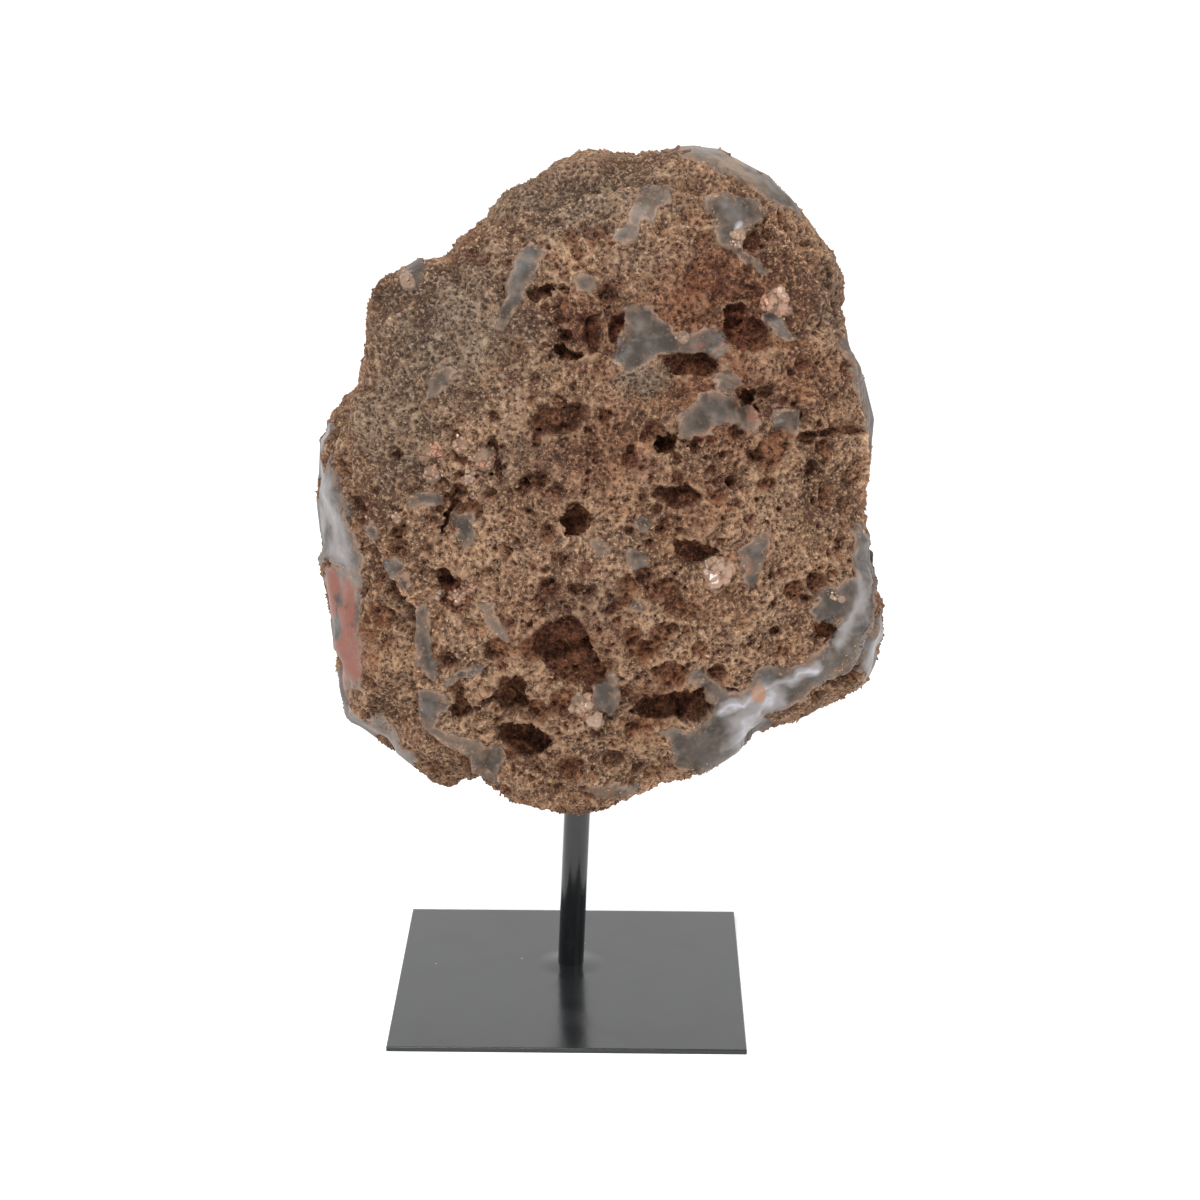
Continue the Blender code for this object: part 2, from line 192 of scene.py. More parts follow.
# Colour stains: middle, half width, half height and strength
RUST_STAINS = [
    (368, 650, 15, 56, 0.9), (645, 656, 12, 10, 1.0), (655, 720, 24, 9, 1.0), (757, 692, 11, 15, 1.4),
    (711, 583, 9, 7, 1.0), (730, 556, 9, 7, 0.9), (683, 300, 22, 12, 0.5), (735, 400, 14, 30, 0.6),
    (769, 302, 9, 9, 0.9), (800, 392, 14, 10, 0.6), (667, 402, 22, 12, 0.5), (821, 626, 16, 11, 1.0),
    (582, 673, 10, 7, 0.5), (480, 440, 14, 9, 0.5), (700, 600, 60, 30, 0.35), (790, 345, 20, 6, 0.8),
    (673, 672, 26, 12, 0.6), (640, 738, 40, 14, 0.4), (434, 640, 10, 40, 0.4), (670, 540, 30, 30, 0.5),
]
PINK_STAINS = [
    (342, 660, 26, 54, 1.4), (326, 580, 16, 32, 1.2), (345, 592, 14, 24, 0.9), (343, 616, 16, 18, 1.1),
    (752, 418, 12, 18, 0.7), (592, 692, 8, 18, 0.8), (690, 342, 30, 9, 0.5), (640, 466, 16, 20, 0.6),
    (435, 450, 12, 10, 0.7), (775, 303, 16, 12, 0.7), (745, 566, 9, 16, 0.5), (718, 350, 8, 8, 0.6),
]
TAN_AREAS = [
    (735, 165, 90, 45, 1.2), (866, 440, 16, 70, 1.1), (735, 765, 70, 14, 0.9), (850, 665, 30, 30, 0.5),
    (380, 735, 50, 26, 0.7), (600, 784, 50, 10, 0.6), (460, 740, 60, 30, 0.4), (640, 220, 50, 30, 0.4),
    (852, 370, 20, 40, 1.0), (478, 620, 40, 30, 0.7), (620, 680, 20, 24, 0.5), (752, 420, 14, 20, 0.6),
]
RED_BROWN_AREAS = [
    (570, 630, 80, 60, 0.8), (600, 450, 110, 90, 0.7), (725, 310, 110, 80, 1.4), (720, 380, 70, 110, 1.1),
    (600, 330, 70, 60, 1.0), (700, 500, 60, 50, 0.7), (800, 380, 60, 50, 0.8), (530, 740, 60, 40, 0.6),
    (660, 690, 60, 30, 0.9), (450, 590, 26, 30, 0.8),
]
GREY_AREAS = [
    (450, 330, 130, 120, 0.9), (400, 420, 70, 110, 0.8), (570, 200, 150, 60, 0.8), (520, 450, 90, 60, 0.4),
    (830, 300, 30, 70, 0.6), (640, 265, 60, 40, 0.4), (860, 620, 30, 60, 0.4), (590, 600, 60, 40, 0.5),
    (643, 380, 36, 24, 1.3),
]
# Where the rind is even and grainy, with few pits
EVEN_AREAS = [
    (440, 340, 110, 110, 1.0), (385, 420, 60, 120, 0.9), (590, 180, 170, 50, 0.9), (400, 690, 60, 90, 0.7),
]
STAIN_STEEPNESS = 1.3
EVEN_STEEPNESS = 1.5

# Hollows: middle, half width, half height, turn in degrees and depth
HOLLOWS = [
    (577, 523, 19, 20, 0, 3.6 * MM), (562, 640, 33, 24, -15, 3.6 * MM), (578, 665, 36, 24, 10, 3.2 * MM),
    (525, 737, 28, 19, 5, 4.2 * MM), (513, 692, 25, 20, 0, 4.0 * MM), (463, 702, 14, 15, 0, 3.0 * MM),
    (668, 701, 44, 15, -20, 4.6 * MM), (692, 703, 20, 16, 0, 3.0 * MM), (565, 353, 19, 8, 20, 2.6 * MM),
    (543, 292, 20, 8, -20, 2.6 * MM), (667, 443, 11, 17, 0, 2.8 * MM), (745, 396, 9, 16, 35, 2.6 * MM),
    (734, 314, 17, 15, 0, 3.6 * MM), (745, 335, 30, 20, 20, 2.6 * MM), (619, 329, 8, 19, 20, 3.4 * MM),
    (593, 336, 9, 24, 5, 2.6 * MM), (690, 365, 32, 16, 0, 2.6 * MM), (695, 549, 26, 14, 0, 3.0 * MM),
    (679, 497, 27, 14, 0, 2.2 * MM), (449, 511, 5, 27, 18, 3.4 * MM), (446, 575, 12, 11, 0, 2.8 * MM),
    (458, 591, 22, 24, 0, 2.0 * MM), (821, 626, 15, 12, 0, 2.4 * MM), (523, 487, 8, 8, 0, 2.0 * MM),
    (399, 451, 6, 10, 0, 2.0 * MM), (535, 438, 5, 12, 0, 2.0 * MM), (399, 531, 8, 8, 0, 2.2 * MM),
    (753, 245, 10, 10, 0, 2.2 * MM), (638, 648, 13, 12, 0, 2.4 * MM), (604, 665, 10, 9, 0, 2.0 * MM),
    (803, 598, 5, 5, 0, 1.2 * MM), (497, 458, 5, 26, -8, 2.4 * MM), (606, 419, 7, 9, 0, 1.6 * MM),
    (577, 586, 9, 7, 0, 1.6 * MM), (619, 604, 17, 9, -25, 1.8 * MM), (572, 668, 6, 5, 0, 1.6 * MM),
    (632, 730, 8, 10, 0, 2.0 * MM), (640, 728, 14, 9, 0, 1.6 * MM), (832, 431, 34, 6, -4, 2.0 * MM),
    (805, 436, 10, 8, 0, 1.8 * MM), (771, 452, 14, 26, 20, 2.0 * MM), (596, 728, 7, 4, 0, 1.6 * MM),
    (556, 418, 36, 16, -12, 2.6 * MM), (668, 668, 18, 13, 0, 1.8 * MM), (766, 484, 10, 8, 0, 1.8 * MM),
]
HOLLOW_STEEPNESS = 4.2
# The raised lip round a hollow: height, then middle and width in shares of the hollow's radius
LIP_RISE = 0.5 * MM
LIP_PLACE = (-0.12, 0.12)
# Where the lip's painted highlight lies: middle and width in shares of the hollow's radius
LIP_COLOUR_PLACE = (-0.16, 0.14)
# The pits that riddle the rind: spacing, radius as a share of it, and depth
PIT_FIELDS = [(10 * MM, 0.42, 2.8 * MM), (5.2 * MM, 0.40, 1.7 * MM), (3.0 * MM, 0.36, 0.9 * MM)]
PIT_STEEPNESS = 3.0
# A pit's radius beside the usual one: on average, its swing, and the least
PIT_REACH = (0.75, 0.9, 0.05)
# Where pits come and go: size of the patches, and how riddled the rind is on average
RIDDLED = (22 * MM, 0.75)

# Clumps of crystals on the front: middle, radius, how many, crystal radius and warmth from white to orange
FRONT_CLUMPS = {
    "right_rosette": (719, 571, 12, 44, 1.5 * MM, 0.3),
    "right_rosette_foot": (712, 582, 8, 14, 0.8 * MM, 0.8),
    "lower_rosette": (580, 702, 10, 16, 1.3 * MM, 0.2),
    "lower_red": (584, 712, 6, 10, 0.8 * MM, 0.9),
    "lower_blue": (597, 720, 7, 8, 1.5 * MM, 0.0),
    "upper_right_cluster": (775, 302, 13, 20, 1.2 * MM, 0.55),
    "upper_right_red": (767, 304, 7, 10, 0.8 * MM, 1.0),
    "upper_right_tail": (784, 312, 7, 8, 0.9 * MM, 0.4),
    "left_ball": (435, 450, 8, 20, 0.65 * MM, 0.9),
    "left_pale": (433, 474, 10, 14, 0.6 * MM, 0.5),
    "left_white": (469, 476, 7, 14, 0.7 * MM, 0.25),
    "left_pink": (486, 457, 12, 18, 0.6 * MM, 0.8),
    "left_tan": (462, 443, 9, 12, 0.6 * MM, 0.7),
    "vug_crystal": (458, 596, 9, 22, 0.8 * MM, 0.6),
    "vug_rim": (470, 588, 9, 18, 0.7 * MM, 0.8),
    "vug_white": (440, 594, 5, 10, 0.6 * MM, 0.05),
    "pale_ball": (398, 518, 6, 14, 0.6 * MM, 0.5),
    "top_white": (737, 240, 8, 22, 0.7 * MM, 0.15),
    "top_left_white": (405, 277, 9, 14, 0.5 * MM, 0.2),
    "white_dot": (834, 596, 4, 8, 0.6 * MM, 0.1),
    "hook_specks": (682, 336, 7, 5, 0.35 * MM, 0.2),
}
# The swelling under a clump: height at the usual radius, that radius, and steepness
CLUMP_RISE = 2.0 * MM
CLUMP_USUAL_RADIUS = 15
CLUMP_STEEPNESS = 1.6
# A clump's crystals: least and greatest radius beside the given one, height beside radius, lean off the
# surface, and swing in warmth
CLUMP_CRYSTAL_SIZES = (0.5, 1.25)
CLUMP_CRYSTAL_HEIGHT = 1.3
CLUMP_CRYSTAL_LEAN = 1.0
CLUMP_WARMTH_SWING = 0.2

# The druzy hollow on the back: middle to the side and up, radii, and the height of the waves round its edge,
# with how many there are, where they start and their share
HOLLOW_MIDDLE = (-3 * MM, 4 * MM)
HOLLOW_RADII = (46 * MM, 58 * MM)
HOLLOW_WOBBLE = 0.09
HOLLOW_WAVES = [(2, 0.6, 1.0), (3, 2.1, 0.6)]
# The distance inside it that stands for anywhere on the front
FAR_OUTSIDE = -1.0
# Its banded rim, in mm inside its edge: where the bands start and end, and their steps
BANDS_START = (-7.0, -6.2)
BANDS_END = (2.5, 4.0)
BAND_STEPS = (1.3, 3.7)
# Its crystals: how far they keep inside its edge, spacing, lean, radii in mm, heights beside the radius, and
# how far inside the edge they are full grown
DRUSE_INSET = 2.5 * MM
DRUSE_SPACING = 2.3 * MM
DRUSE_LEAN = 0.5
DRUSE_RADII = (0.7, 1.9)
DRUSE_HEIGHTS = (1.2, 1.9)
DRUSE_FULL_GROWN = 20 * MM

# The stone's mesh: its name, its pieces, how often the front is divided and how far back, and its smoothing
SURFACE_MESH = "agate_surface"
FRONT_PIECES = ["agate_front_left", "agate_front_middle", "agate_front_right"]
BACK_PIECE = "agate_back"
FRONT_CUTS = 2
FRONT_CUTS_END = -2 * MM
BODY_VOXEL = 1.9 * MM
BODY_SMOOTHING = 6
BODY_SMOOTHING_SHARE = 0.5
# Fitting the outline: directions from the stone's middle, steps along each drawn stretch, and the share of
# the way out where the pull starts
OUTLINE_BINS = 240
OUTLINE_STEPS = 24
OUTLINE_PULL_START = 0.6
# The front ends this far behind the plane of the widest outline, and its marks fade out over this depth
FRONT_END = 5 * MM
RIM_FADE = 8 * MM
LUMP_EDGE_RISE = 3.4 * MM
LUMP_EDGE_WIDTH = 1.4 * MM
LUMP_WANDER = 0.35
LUMP_CREVICE_DEPTH = 3.6 * MM
LUMP_CREVICE_WIDTH = 1.3 * MM
# Where the crevice comes and goes: size of the patches, and how strong it is on average
CREVICE_PATCHES = (16 * MM, 0.8)
# The ledge's painted highlight, a lighter edge in mm inside the lump: middle and width
LEDGE_PLACE = (0.9, 0.8)
PATCHES_SWING = 1.2
PATCH_RISE = 0.4 * MM
# In mm, the width of a chalcedony patch's edge and of the druse's
PATCH_EDGE_WIDTH = 0.8
DRUSE_EDGE_WIDTH = 2
# How much of the rind's relief is lost: its lumps and its grit under chalcedony, and both in the druse
LUMPS_LOST = 0.5
GRIT_LOST = 0.93
LOST_IN_DRUSE = 0.6
# The rind's fine pores: spacing, depth, and the distances from their middles where walls start and top out
PORE_SPACING = 1.3 * MM
PORE_DEPTH = 0.6 * MM
PORE_FLOOR = 0.24
PORE_WALL = 0.64
# The rind's lumps and its finer grit: size and height
RIND_LUMPS = [(14 * MM, 2.4 * MM), (7 * MM, 2.2 * MM)]
RIND_GRIT = [(3.4 * MM, 1.3 * MM), (1.6 * MM, 0.5 * MM)]
OUTLINE_WANDER = [(5 * MM, 6.0), (2 * MM, 4.0), (0.9 * MM, 2.0)]
# On the stone's sides: how far drawn outlines wander, and where patches end, on average and with wander
SIDE_SPOT = 9 * MM
SIDE_LAYERS = [(SIDE_SPOT, 1.0), (0.4 * SIDE_SPOT, 0.5)]
SIDE_WIDTH_SEEN = 15.0
SIDE_WANDER = 60.0
PATCH_END = 9 * MM
PATCH_END_WANDER = 26 * MM

# Noise: its swing, the factors and shifts that scramble its cells, and a seed for each use
NOISE_SWING = 1.3
CELL_FACTORS = (374761393, 668265263, 2246822519)
SEED_FACTOR = 40503
SCRAMBLING = [(13, 1274126177), (15, 2654435761)]
LAST_SHIFT = 16
SEED_STEP_BY_AXIS = 1000
SEEDS = {
    "front_crystals": 5, "druse_crystals": 6, "outline_right": 10, "side_wander": 15, "front_ridges": 21,
    "back_ridges": 22, "outline_down": 30, "druse_places": 31, "patch_end": 60, "crevice": 70, "riddled": 90,
    "pit_reach": 100, "pit_places": 200, "pores": 300,
}

# The walls between the rind's pores: small ridges, measured in shares of their size
RIDGE_LENGTHS = (0.9, 1.7)
RIDGE_WIDTHS = (0.35, 0.6)
RIDGE_HEIGHTS = (0.35, 0.8)
RIDGE_ROOT = 0.35
RIDGE_TOP_SHIFT = 0.3
RIDGE_CORNERS = 5
RIDGE_FACES = [(0, 1, 2), (0, 2, 3), (0, 3, 4), (0, 4, 1), (3, 2, 1), (4, 3, 1)]
RIDGE_SIZES = (0.6, 1.25)
BACK_RIDGE_SIZE = 1.8
# Their tones, and where they end: a ragged line at the chalcedony's edge, the druse's rim and the clumps
RIDGE_TONES = (1.3, 2.0)
RIDGE_EDGE_SCATTER = 0.5
RIDGE_DRUSE_END = -6
RIDGE_CLUMP_END = 0.1
# How many places are tried for each one that a surface has room for
TRIES_PER_PLACE = 3

# A crystal: its sides, the rings of corners as height and width, and how many corners it has with its tip
CRYSTAL_SIDES = 6
CRYSTAL_RINGS = [(-0.5, 1.0), (0.45, 0.92)]
CRYSTAL_CORNERS = len(CRYSTAL_RINGS) * CRYSTAL_SIDES + 1

# Colours of the rind, and what its marks multiply them by
RIND_RED = (0.162, 0.088, 0.052)
RIND_TAN = (0.210, 0.130, 0.080)
GRAIN_RED = (0.150, 0.084, 0.052)
GRAIN_TAN = (0.205, 0.128, 0.082)
OCHRE = (0.36, 0.19, 0.085)
# Painted shade in the rind's dips and painted light on its heights
DIP_PAINTED_SHADE = (0.54, 0.46, 0.42)
HEIGHT_PAINTED_LIGHT = (1.28, 1.26, 1.24)
GREY_TINT = (0.65, 0.76, 0.88)
RED_BROWN_TINT = (0.66, 0.50, 0.45)
# Painted highlight along the front lump's ledge
LEDGE_PAINTED_HIGHLIGHT = (1.5, 1.5, 1.5)
# Painted shade, with the darker colour of the sunken rind, in pits, hollows and the crevice
SUNKEN_SHADE_TINT = (0.64, 0.46, 0.39)
# Stains on the rind, and a painted highlight on the lip round each hollow: the size of the noise that breaks
# them up, where it starts and tops out, and the colour
RIND_STAINS = {
    "rust": (2.2 * MM, 0.35, 0.65, (0.25, 0.095, 0.038)),
    "pink": (3 * MM, 0.3, 0.6, (0.26, 0.130, 0.095)),
    # Painted highlight on the lip round each hollow
    "lip": (4 * MM, 0.4, 0.6, (0.34, 0.215, 0.130)),
}
# Colours of the chalcedony, its margins and the crystals
CLOUD = (0.060, 0.046, 0.037)
VEIL = (0.100, 0.066, 0.044)
CHALCEDONY_TAN = (0.190, 0.128, 0.082)
CHALCEDONY_PINK = (0.205, 0.066, 0.044)
CHALCEDONY_RUST = (0.30, 0.130, 0.055)
# The milkiest cores of the bands, partly a painted highlight
MILKIEST_AND_SHINE = (0.37, 0.37, 0.40)
MARGIN = (0.140, 0.094, 0.065)
MARGIN_LIP = (0.23, 0.140, 0.096)
BAND_DARK = (0.115, 0.100, 0.095)
BAND_LIGHT = (0.36, 0.34, 0.335)
DRUSE_BED = (0.30, 0.26, 0.24)
CLUMP_BED = (0.21, 0.140, 0.098)
WARM_QUARTZ = (0.30, 0.140, 0.085)
FRONT_QUARTZ_CLOUDY = (0.23, 0.165, 0.120)
BACK_QUARTZ_CLOUDY = (0.33, 0.30, 0.285)
# How far the edge between rind and chalcedony wanders, in mm
EDGE_WANDER = 1.6

# The stand: thickness of its plate, how finely the plate is divided, and its rounding and sharp edges
PLATE_THICKNESS = 1.5 * MM
PLATE_CELLS = 150
PLATE_CORNER = math.radians(60)
ROD_SIDES = 96
ROD_ROUND = 0.4 * MM
ROUNDING_STEPS = 3
SHARP_ANGLE = math.radians(50)
DUST = (0.25, 0.24, 0.22)
WORN_SPECK = (0.16, 0.16, 0.16)

# The stage: the floor's reach, the lights' places and sizes, and where the surround dims towards the eye
FLOOR_REACH = 14
KEY_PLACE = (-0.25, -0.75, 1.1)
KEY_SIZE = 0.5
FILL_PLACE = (0.9, -0.7, 0.5)
FILL_SIZE = 0.8
FILL_SHARE = 0.2
SURROUND_DIMS = (-0.5, 0.6)
NEAREST_SEEN = 0.01


def colour_setting(name, description, default):
    return FloatVectorProperty(
        name=name, description=description, subtype="COLOR", size=3, default=default, min=0, max=1)


def length_setting(name, description, default, least, most):
    return FloatProperty(
        name=name, description=description, default=default, min=least, max=most, unit="LENGTH", precision=5)


class StoneSettings(bpy.types.PropertyGroup):
    """The stone's colours and the size and number of its grains and crystals."""

    # The rind's dark colour, painted into its pores as shade
    rind_dark: colour_setting("Rind dark", "Colour of the rind between its grains", (0.056, 0.030, 0.020))
    rind_light: colour_setting("Rind light", "Colour of the rind's raised grains", (0.49, 0.325, 0.200))
    chalcedony: colour_setting("Chalcedony", "Colour of the smooth grey chalcedony", (0.031, 0.024, 0.019))
    # Colour of the milky bands, also painted as highlight on the shining ones
    milky_and_shine: colour_setting("Milky chalcedony", "Colour of its pale blue bands", (0.215, 0.200, 0.195))
    quartz: colour_setting("Quartz", "Colour of the small crystals", (0.26, 0.178, 0.122))
    druse_quartz: colour_setting(
        "Druse quartz", "Colour of the crystals in the hollow on the back", (0.62, 0.58, 0.56))
    grain_spacing: length_setting(
        "Grain spacing", "Distance between the grains of the rind", 1.6 * MM, 0.5 * MM, 5 * MM)
    grain_size: length_setting(
        "Grain size", "Half the width of a grain on the front", 0.55 * MM, 0.2 * MM, 3 * MM)
    druse_crystals: IntProperty(
        name="Druse crystals", description="Most crystals that line the hollow on the back",
        default=2600, min=100, max=6000)


class StandSettings(bpy.types.PropertyGroup):
    """The stand's paint and the shape of its plate."""

    paint: colour_setting("Paint", "Colour of the stand's black paint", (0.010, 0.011, 0.012))
    mound_height: length_setting(
        "Mound height", "Rise of the plate round the rod's foot", 0.8 * MM, 0, 3 * MM)
    mound_radius: length_setting("Mound radius", "Reach of that rise", 11 * MM, 5 * MM, 30 * MM)
    edge_round: length_setting("Edge round", "Rounding of the plate's edges", 0.25 * MM, 0.05 * MM, 0.6 * MM)


class StageSettings(bpy.types.PropertyGroup):
    """The camera, the lights and the floor."""

    lens: FloatProperty(
        name="Lens", description="Focal length of the camera",
        default=83.5, min=20, max=300, unit="CAMERA")
    key_power: FloatProperty(
        name="Key light", description="Power of the large light above the front",
        default=16.5, min=0, max=200, unit="POWER")
    surround: FloatProperty(
        name="Surround", description="Brightness of the white surroundings",
        default=1.3, min=0, max=4)
    front_share: FloatProperty(
        name="Front share", description="Brightness on the eye's side, as a share of the surround's",
        default=0.42, min=0, max=1)
    floor_glow: FloatProperty(
        name="Floor glow", description="Light that the floor gives off, as on a light table",
        default=0.25, min=0, max=2)
    floor_colour: colour_setting("Floor", "Colour of the floor", (0.92, 0.92, 0.92))


def smooth_step(value):
    """Goes smoothly from 0 to 1 as the value does, and stays there outside that range."""
    value = np.clip(value, 0, 1)
    return value * value * (3 - 2 * value)


def bell(value, middle, width):
    """1 where the value is the middle one, falling to 0 on both sides."""
    return np.exp(-((value - middle) / width) ** 2)


def eye_axes():
    """The eye's right, up and forward directions."""
    forward = Vector((math.sin(EYE_YAW) * math.cos(EYE_PITCH), math.cos(EYE_YAW) * math.cos(EYE_PITCH),
                      -math.sin(EYE_PITCH)))
    level = Vector((math.cos(EYE_YAW), -math.sin(EYE_YAW), 0))
    upright = level.cross(forward)
    right = math.cos(EYE_ROLL) * level + math.sin(EYE_ROLL) * upright
    up = math.cos(EYE_ROLL) * upright - math.sin(EYE_ROLL) * level
    return right, up, forward


def focal_units():
    """The focal length in picture units."""
    return bpy.context.scene.agate_stage.lens / SENSOR_WIDTH * PICTURE_WIDTH


def seen_at(points):
    """Where the eye sees each point, in picture units, and how deep it lies before the eye."""
    right, up, forward = (np.array(axis) for axis in eye_axes())
    away = points - np.array(EYE)
    depth = away @ forward
    half = PICTURE_WIDTH / 2
    across = half + focal_units() * (away @ right) / depth
    down = half - focal_units() * (away @ up) / depth
    return np.stack([across, down], 1), depth


def behind_rim(points):
    """How far each point lies behind the plane of the stone's widest outline."""
    facing = np.array((0, math.cos(RIM_LEAN), -math.sin(RIM_LEAN)))
    return (points - np.array(STONE_MIDDLE)) @ facing


def front_share(points):
    """1 on the stone's front, falling to 0 just behind its outline."""
    return smooth_step((FRONT_END - behind_rim(points)) / RIM_FADE)


def scrambled(cells, seed):
    """A random number from 0 to 1 for each whole-numbered cell."""
    whole = cells.astype(np.int64).astype(np.uint32)
    mixed = (whole * np.array(CELL_FACTORS, np.uint32)).sum(1, dtype=np.uint32)
    mixed = mixed + np.uint32(seed * SEED_FACTOR)
    for shift, factor in SCRAMBLING:
        mixed = (mixed ^ (mixed >> np.uint32(shift))) * np.uint32(factor)
    return (mixed ^ (mixed >> np.uint32(LAST_SHIFT))) / 2.0**32


def noise_at(points, size, seed=0):
    """Smooth noise from about -0.6 to 0.6, with spots of about the given size."""
    place = points / size
    base = np.floor(place)
    share = smooth_step(place - base)
    total = np.zeros(len(points))
    for corner in np.ndindex(2, 2, 2):
        weight = np.prod(np.where(corner, share, 1 - share), axis=1)
        total += weight * scrambled(base + corner, seed)
    return NOISE_SWING * (total - 0.5)


def patchy(points, patches, seed):
    """From 0 to 1, coming and going in patches, which are given as their size and the average value."""
    size, average = patches
    return np.clip(average + PATCHES_SWING * noise_at(points, size, seed), 0, 1)


def centre_distance(points, size, seed):
    """How far each point lies from the nearest of many scattered centres, in shares of their spacing."""
    place = points / size
    base = np.floor(place)
    nearest = np.full(len(points), np.inf)
    for step in np.ndindex(3, 3, 3):
        cell = base + step - 1
        centre = cell + np.stack([scrambled(cell, seed + SEED_STEP_BY_AXIS * axis) for axis in range(3)], 1)
        nearest = np.minimum(nearest, ((place - centre) ** 2).sum(1))
    return np.sqrt(nearest)


def inside_distance(points, outline):
    """How far each point lies inside a closed outline, and less than 0 outside it."""
    outline = np.array(outline, float)
    nearest = np.full(len(points), np.inf)
    inside = np.zeros(len(points), bool)
    for start, end in zip(outline, np.roll(outline, -1, 0)):
        along, to_point = end - start, points - start
        share = np.clip(to_point @ along / (along @ along), 0, 1)
        nearest = np.minimum(nearest, np.hypot(*(to_point - share[:, None] * along).T))
        if start[1] != end[1]:
            crosses = (start[1] > points[:, 1]) != (end[1] > points[:, 1])
            inside ^= crosses & (to_point[:, 0] < to_point[:, 1] * along[0] / along[1])
    return np.where(inside, nearest, -nearest)


def line_distance(points, line):
    """How far each point lies from a run of straight stretches."""
    nearest = np.full(len(points), np.inf)
    for start, end in zip(np.array(line[:-1], float), np.array(line[1:], float)):
        along, to_point = end - start, points - start
        share = np.clip(to_point @ along / (along @ along), 0, 1)
        nearest = np.minimum(nearest, np.hypot(*(to_point - share[:, None] * along).T))
    return nearest


def spot(seen, x, y, half_width, half_height, turn=0.0):
    """1 at a spot's middle, 0 at its edge and less than 0 outside it."""
    angle = math.radians(turn)
    right, down = seen[:, 0] - x, seen[:, 1] - y
    along = right * math.cos(angle) + down * math.sin(angle)
    across = down * math.cos(angle) - right * math.sin(angle)
    return 1 - np.hypot(along / half_width, across / half_height)


def covered(seen, areas, steepness):
    """How strongly soft-edged areas cover each seen place."""
    return np.max([s * np.clip(steepness * spot(seen, x, y, w, h), 0, 1) for x, y, w, h, s in areas], 0)


def hollow_inside(points):
    """How far inside the edge of the druzy hollow on the back each point lies."""
    right, up, _ = (np.array(axis) for axis in eye_axes())
    away = points - np.array(STONE_MIDDLE)
    side, rise = away @ right - HOLLOW_MIDDLE[0], away @ up - HOLLOW_MIDDLE[1]
    angle = np.arctan2(rise / HOLLOW_RADII[1], side / HOLLOW_RADII[0])
    waves = sum(share * np.sin(count * angle + start) for count, start, share in HOLLOW_WAVES)
    from_middle = np.hypot(side / HOLLOW_RADII[0], rise / HOLLOW_RADII[1])
    inside = (1 + HOLLOW_WOBBLE * waves - from_middle) * min(HOLLOW_RADII)
    return np.where(behind_rim(points) > FRONT_END, inside, FAR_OUTSIDE)


def side_share(seen, points):
    """0 on the stone's front, rising to 1 at its silhouette and behind it."""
    beside = smooth_step(1 - inside_distance(seen, SILHOUETTE) / SIDE_WIDTH_SEEN)
    return np.maximum(beside, smooth_step(1 + behind_rim(points) / RIM_FADE))


def side_noise(points, seed):
    """The noise that makes outlines wander on the stone's sides."""
    layers = enumerate(SIDE_LAYERS)
    return sum(strength * noise_at(points, size, seed + number) for number, (size, strength) in layers)


def patch_end(seen, points):
    """How far each point lies before the ragged line on the stone's sides where its patches end."""
    wander = side_share(seen, points) * side_noise(points, SEEDS["patch_end"])
    return PATCH_END - behind_rim(points) + PATCH_END_WANDER * wander


def ragged(seen, points):
    """The seen places pushed about, and more so on the sides, so that drawn outlines come out ragged."""
    moved = seen.copy()
    for number, (size, reach) in enumerate(OUTLINE_WANDER):
        moved[:, 0] += reach * noise_at(points, size, SEEDS["outline_right"] + number)
        moved[:, 1] += reach * noise_at(points, size, SEEDS["outline_down"] + number)
    away = seen - MIDDLE_SEEN
    round_rim = np.stack([-away[:, 1], away[:, 0]], 1) / np.hypot(*away.T)[:, None]
    wander = SIDE_WANDER * side_share(seen, points) * side_noise(points, SEEDS["side_wander"])
    moved += wander[:, None] * round_rim
    return moved


def rind_height(points, layers):
    """How far the rind's lumps and dips of some sizes stand out at each point."""
    return sum(height * noise_at(points, size, round(size / (0.1 * MM))) for size, height in layers)


def inside_lump(seen, wandering, unit):
    """How far each point lies inside the edge of the front lump."""
    return inside_distance(seen + LUMP_WANDER * (wandering - seen), FRONT_LUMP) * unit


def ledge_crevice(points, lump):
    """1 in the crevice that runs round the front lump, from how far each point lies inside the lump."""
    line = bell(lump, -LUMP_CREVICE_WIDTH, LUMP_CREVICE_WIDTH)
    return line * patchy(points, CREVICE_PATCHES, SEEDS["crevice"])


def pit_fields(points, seen, front):
    """How deep each point lies in a pit of each size, from 0 to 1."""
    even = covered(seen, EVEN_AREAS, EVEN_STEEPNESS) * front
    riddled = patchy(points, RIDDLED, SEEDS["riddled"]) * (1 - even)
    average, swing, least = PIT_REACH
    fields = []
    for number, (size, share, _) in enumerate(PIT_FIELDS):
        near = centre_distance(points, size, SEEDS["pit_places"] + number)
        reach = share * (average + swing * noise_at(points, 2 * size, SEEDS["pit_reach"] + number))
        fields.append(smooth_step(PIT_STEEPNESS * (1 - near / np.maximum(reach, least))) * riddled)
    return fields


